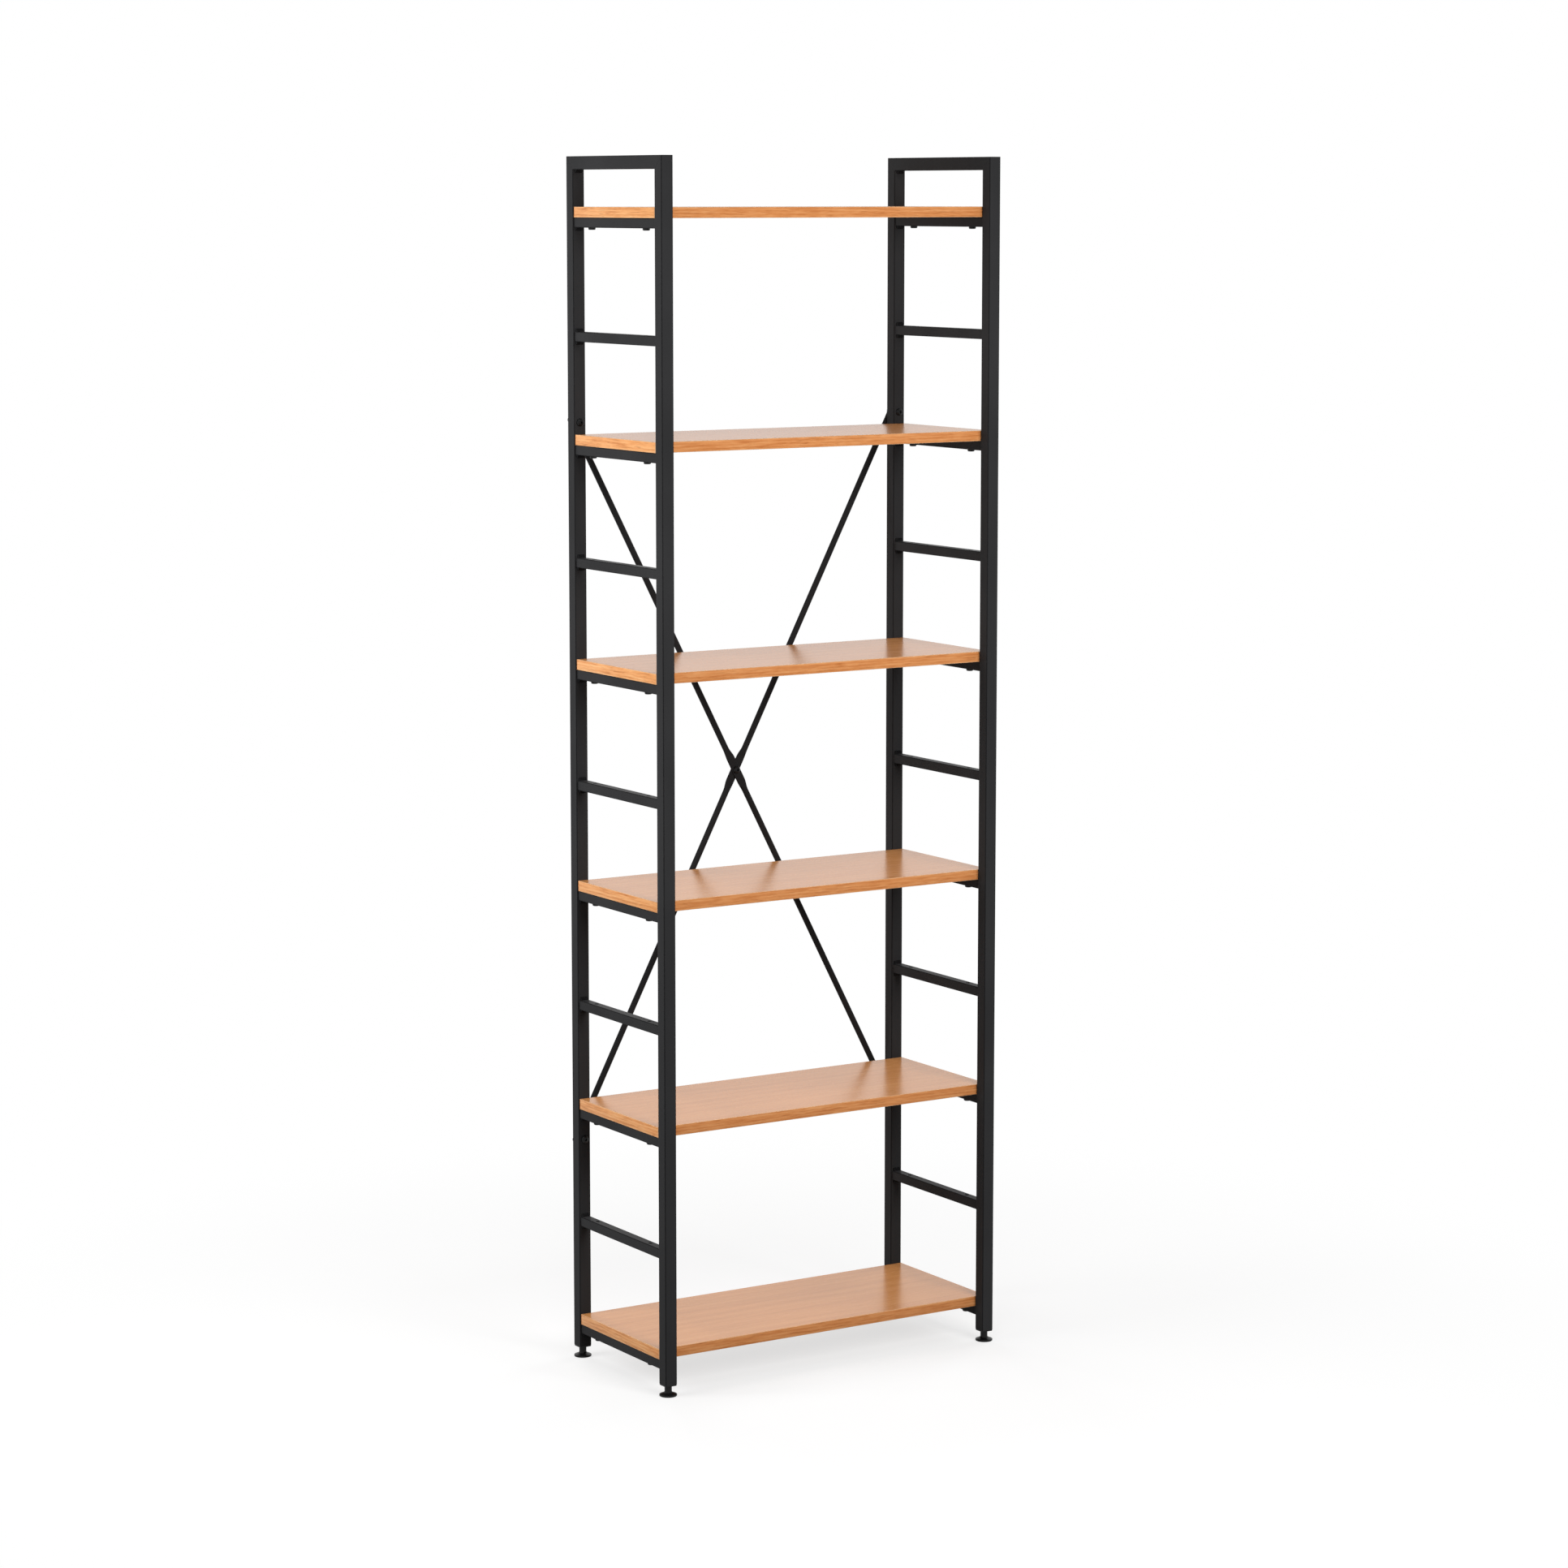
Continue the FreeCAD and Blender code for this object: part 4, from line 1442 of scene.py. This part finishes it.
@dataclass
class LevellingFeet:
    """Round feet on threaded studs, each turned in an insert in its post."""

    plastic: Material
    zinc: Material
    sole_edge: float = 0.6 * MM
    rim_tall: float = 3.0 * MM
    rim_round: float = 1.1 * MM
    dome: float = 4.6 * MM
    flare: float = 3.4 * MM
    hub_wall: float = 1.6 * MM
    hub_round: float = 0.5 * MM
    stud_room: float = 0.05 * MM
    floor: float = 2.4 * MM
    pocket_tall: float = 2.2 * MM
    base_sides: int = 56
    base_smooth: float = 40.0
    collar_wide: float = 1.0 * MM
    collar_tall: float = 2.0 * MM
    collar_edge: float = 0.2 * MM
    collar_sides: int = 32
    neck: float = 0.5 * MM
    root: float = 3.35 * MM
    pitch: float = 1.25 * MM
    thread_sides: int = 24
    taper: Point = (0.5, 0.88)
    stud_smooth: float = 36.0

    def build(self) -> None:
        """Models one foot and copies its pieces to the four corners."""
        base_low, base_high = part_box("foot_base_left_front")
        stud_low, stud_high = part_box("foot_stud_left_front")
        disc = (base_high.x - base_low.x) / 2
        collar = (stud_high.x - stud_low.x) / 2
        base = self.make_base(disc, base_high.z, collar)
        stud = self.make_stud(collar, stud_low.z, stud_high.z)
        for corner in CORNERS:
            dress_node(f"foot_insert_{corner}", self.plastic)
            name = f"foot_base_{corner}"
            place = (*middle_of(name)[:2], 0)
            base.copy(f"foot_disc_{corner}", place).seat(name, "foot_plastic", name)
            name = f"foot_stud_{corner}"
            stud.copy(f"foot_screw_{corner}", place).seat(name, "zinc_fixing", name)
        base.scrap()
        stud.scrap()

    def make_base(self, disc: float, tall: float, collar: float) -> Blank:
        """Models the round base with its hub and the pocket of the stud's collar.

        Args:
            disc: Radius of the disc.
            tall: Height of the hub.
            collar: Radius of the stud's collar.

        Returns:
            The base, standing on the origin.
        """
        stud = collar - self.collar_wide
        hub = stud + self.hub_wall
        edge, rim, flare, lip = self.sole_edge, self.rim_round, self.flare, self.hub_round
        profile = [(0, 0)]
        profile += arc((disc - edge, edge), edge, -90, 0, 3)
        profile += arc((disc - rim, self.rim_tall - rim), rim, 0, 80, 6)
        profile += arc((hub + flare, self.dome + flare), flare, 260, 180, 8)
        profile += arc((hub - lip, tall - lip), lip, 0, 90, 3)
        bore, pocket = stud + self.stud_room, collar + self.stud_room
        roof = self.floor + self.pocket_tall
        profile += [(bore, tall), (bore, roof), (pocket, roof), (pocket, self.floor)]
        profile.append((0, self.floor))
        base = Blank.turned("foot_base", profile, self.base_sides)
        base.smooth(self.base_smooth)
        base.dress(self.plastic)
        return base

    def make_stud(self, collar: float, low: float, high: float) -> Blank:
        """Models the threaded stud with its collar.

        Args:
            collar: Radius of the collar.
            low: Height of its lower end.
            high: Height of its upper end.

        Returns:
            The stud, on the Z axis.
        """
        crest = collar - self.collar_wide
        top = low + self.collar_tall
        core = top + self.neck
        profile = [(0, low), (collar - self.collar_edge, low), (collar, low + self.collar_edge)]
        profile += [(collar, top), (self.root, top), (self.root, core), (0, core)]
        stud = Blank.turned("stud", profile, self.collar_sides)
        ends = (top + self.collar_edge, high)
        thread = Blank.thread((self.root, crest), self.pitch, ends, self.thread_sides, self.taper)
        stud = Blank.joined("stud", [stud, thread])
        stud.smooth(self.stud_smooth)
        stud.dress(self.zinc)
        return stud


@dataclass(frozen=True)
class Lamp:
    """A soft lamp that looks at the middle of the bookcase."""

    name: str
    place: Triple
    wide: float
    tall: float
    power: float
    mirrored: bool = False

    def hang(self, target: Vector) -> None:
        """Puts the lamp up.

        Args:
            target: The point that it looks at.
        """
        deselect()
        bpy.ops.object.light_add(type="AREA", location=self.place)
        lamp = bpy.context.object
        lamp.name = self.name
        lamp.data.shape = "RECTANGLE"
        lamp.data.size = self.wide
        lamp.data.size_y = self.tall
        lamp.data.energy = self.power
        lamp.visible_camera = False
        lamp.visible_glossy = self.mirrored
        lamp.rotation_euler = (target - lamp.location).to_track_quat("-Z", "Y").to_euler()


@dataclass
class Studio:
    """A pale floor, a white surround, soft lamps and the photograph's camera."""

    ambient: float = 0.16
    floor_side: float = 60.0
    floor_cuts: int = 8
    floor_drop: float = 0.5 * MM
    floor_shade: float = 0.3
    floor_pale: Colour = (0.95, 0.95, 0.95, 1.0)
    floor_bounce: Colour = (0.3, 0.3, 0.3, 1.0)
    shade_from: float = 0.4
    shade_to: float = 1.6
    lamps: tuple[Lamp, ...] = (
        Lamp("front", (0.15, -2.3, 1.7), 1.2, 1.2, 44.5),
        Lamp("left", (-1.9, 0.25, 1.5), 1.0, 1.4, 29.0),
        Lamp("back", (0.3, 3.4, 2.6), 1.8, 1.8, 46.0),
        Lamp("right", (3.3, 0.9, 2.4), 1.8, 1.8, 44.0),
        Lamp("key", (-1.0, -1.4, 4.0), 0.4, 1.6, 14.0, True),
    )
    eye: Triple = (-3.43255, -5.42467, 1.79273)
    heading: float = 32.3141
    dip: float = 7.7206
    lens: float = 96.598
    sensor: float = 36.0
    shift: float = -0.012
    far: float = 200.0

    def build(self) -> None:
        """Sets up floor, surround, lamps and camera."""
        self.lay_floor()
        self.paint_surround()
        middle = (CAD_BOX[0] + CAD_BOX[1]) / 2
        for lamp in self.lamps:
            lamp.hang(middle)
        self.set_camera()
        bpy.context.scene.view_settings.view_transform = "Standard"

    @staticmethod
    def seen(tree: Tree) -> Value:
        """Tells rays that show the surround from those that only light the object.

        Args:
            tree: The tree that asks.

        Returns:
            1 for a ray from the eye, a gloss or a glass, and 0 for others.
        """
        path = tree.node("ShaderNodeLightPath", {}, {})
        shown = path.part("Is Camera Ray").either(path.part("Is Glossy Ray"))
        return shown.either(path.part("Is Transmission Ray"))

    def lay_floor(self) -> None:
        """Adds the floor, white with a soft shadow that fades out, and open to an eye below it."""
        deselect()
        bpy.ops.mesh.primitive_plane_add(size=self.floor_side, location=(0, 0, -self.floor_drop))
        floor = Blank("studio_floor")
        floor.edit()
        bpy.ops.mesh.select_all(action="SELECT")
        bpy.ops.mesh.subdivide(number_cuts=self.floor_cuts)
        floor.done()
        shader = Shader("studio_floor")
        pale, bounce = (shader.node("ShaderNodeBsdfDiffuse", {}, {"Color": colour})
                        for colour in (self.floor_pale, self.floor_bounce))
        glow = shader.node("ShaderNodeEmission", {}, {"Color": WHITE, "Strength": 1.0})
        away = shader.node(
            "ShaderNodeVectorMath", {"operation": "LENGTH"}, {0: shader.place}, "Value")
        fade = shader.ease(away, self.shade_from, self.shade_to)
        shown = shader.blend(1 - self.floor_shade + self.floor_shade * fade, pale, glow)
        upper = shader.blend(self.seen(shader), bounce, shown)
        below = shader.node("ShaderNodeNewGeometry", {}, {}, "Backfacing")
        eye = shader.node("ShaderNodeLightPath", {}, {}, "Is Camera Ray")
        clear = shader.node("ShaderNodeBsdfTransparent", {}, {})
        surface = shader.blend(below * eye, upper, clear)
        shader.node("ShaderNodeOutputMaterial", {}, {"Surface": surface})
        floor.dress(shader.material)

    def paint_surround(self) -> None:
        """Makes the world white to the eye and a little dimmer as light."""
        world = bpy.data.worlds.new("studio")
        bpy.context.scene.world = world
        world.use_nodes = True
        tree = Tree(world.node_tree)
        dim, white = (
            tree.node("ShaderNodeBackground", {}, {"Color": WHITE, "Strength": strength})
            for strength in (self.ambient, 1.0))
        surface = tree.blend(self.seen(tree), dim, white)
        tree.node("ShaderNodeOutputWorld", {}, {"Surface": surface})

    def set_camera(self) -> None:
        """Puts the camera where the photograph was taken from."""
        deselect()
        turn = (math.radians(90 - self.dip), 0, math.radians(-self.heading))
        bpy.ops.object.camera_add(location=self.eye, rotation=turn)
        camera = bpy.context.object
        camera.data.sensor_width = self.sensor
        camera.data.lens = self.lens
        camera.data.shift_y = self.shift
        camera.data.clip_end = self.far
        bpy.context.scene.camera = camera


def main() -> None:
    """Builds the bookcase's looks, piece by piece."""
    logging.basicConfig(level=logging.INFO, format="%(message)s")
    deselect()
    finishes = Finishes()
    SteelFrame(finishes).build()
    ShelfBoards(finishes).build()
    ShelfScrews(finishes.black).build()
    BraceFixings(finishes.black, finishes.zinc).build()
    LevellingFeet(finishes.plastic, finishes.zinc).build()
    Studio().build()


if __name__ == "__main__":
    main()
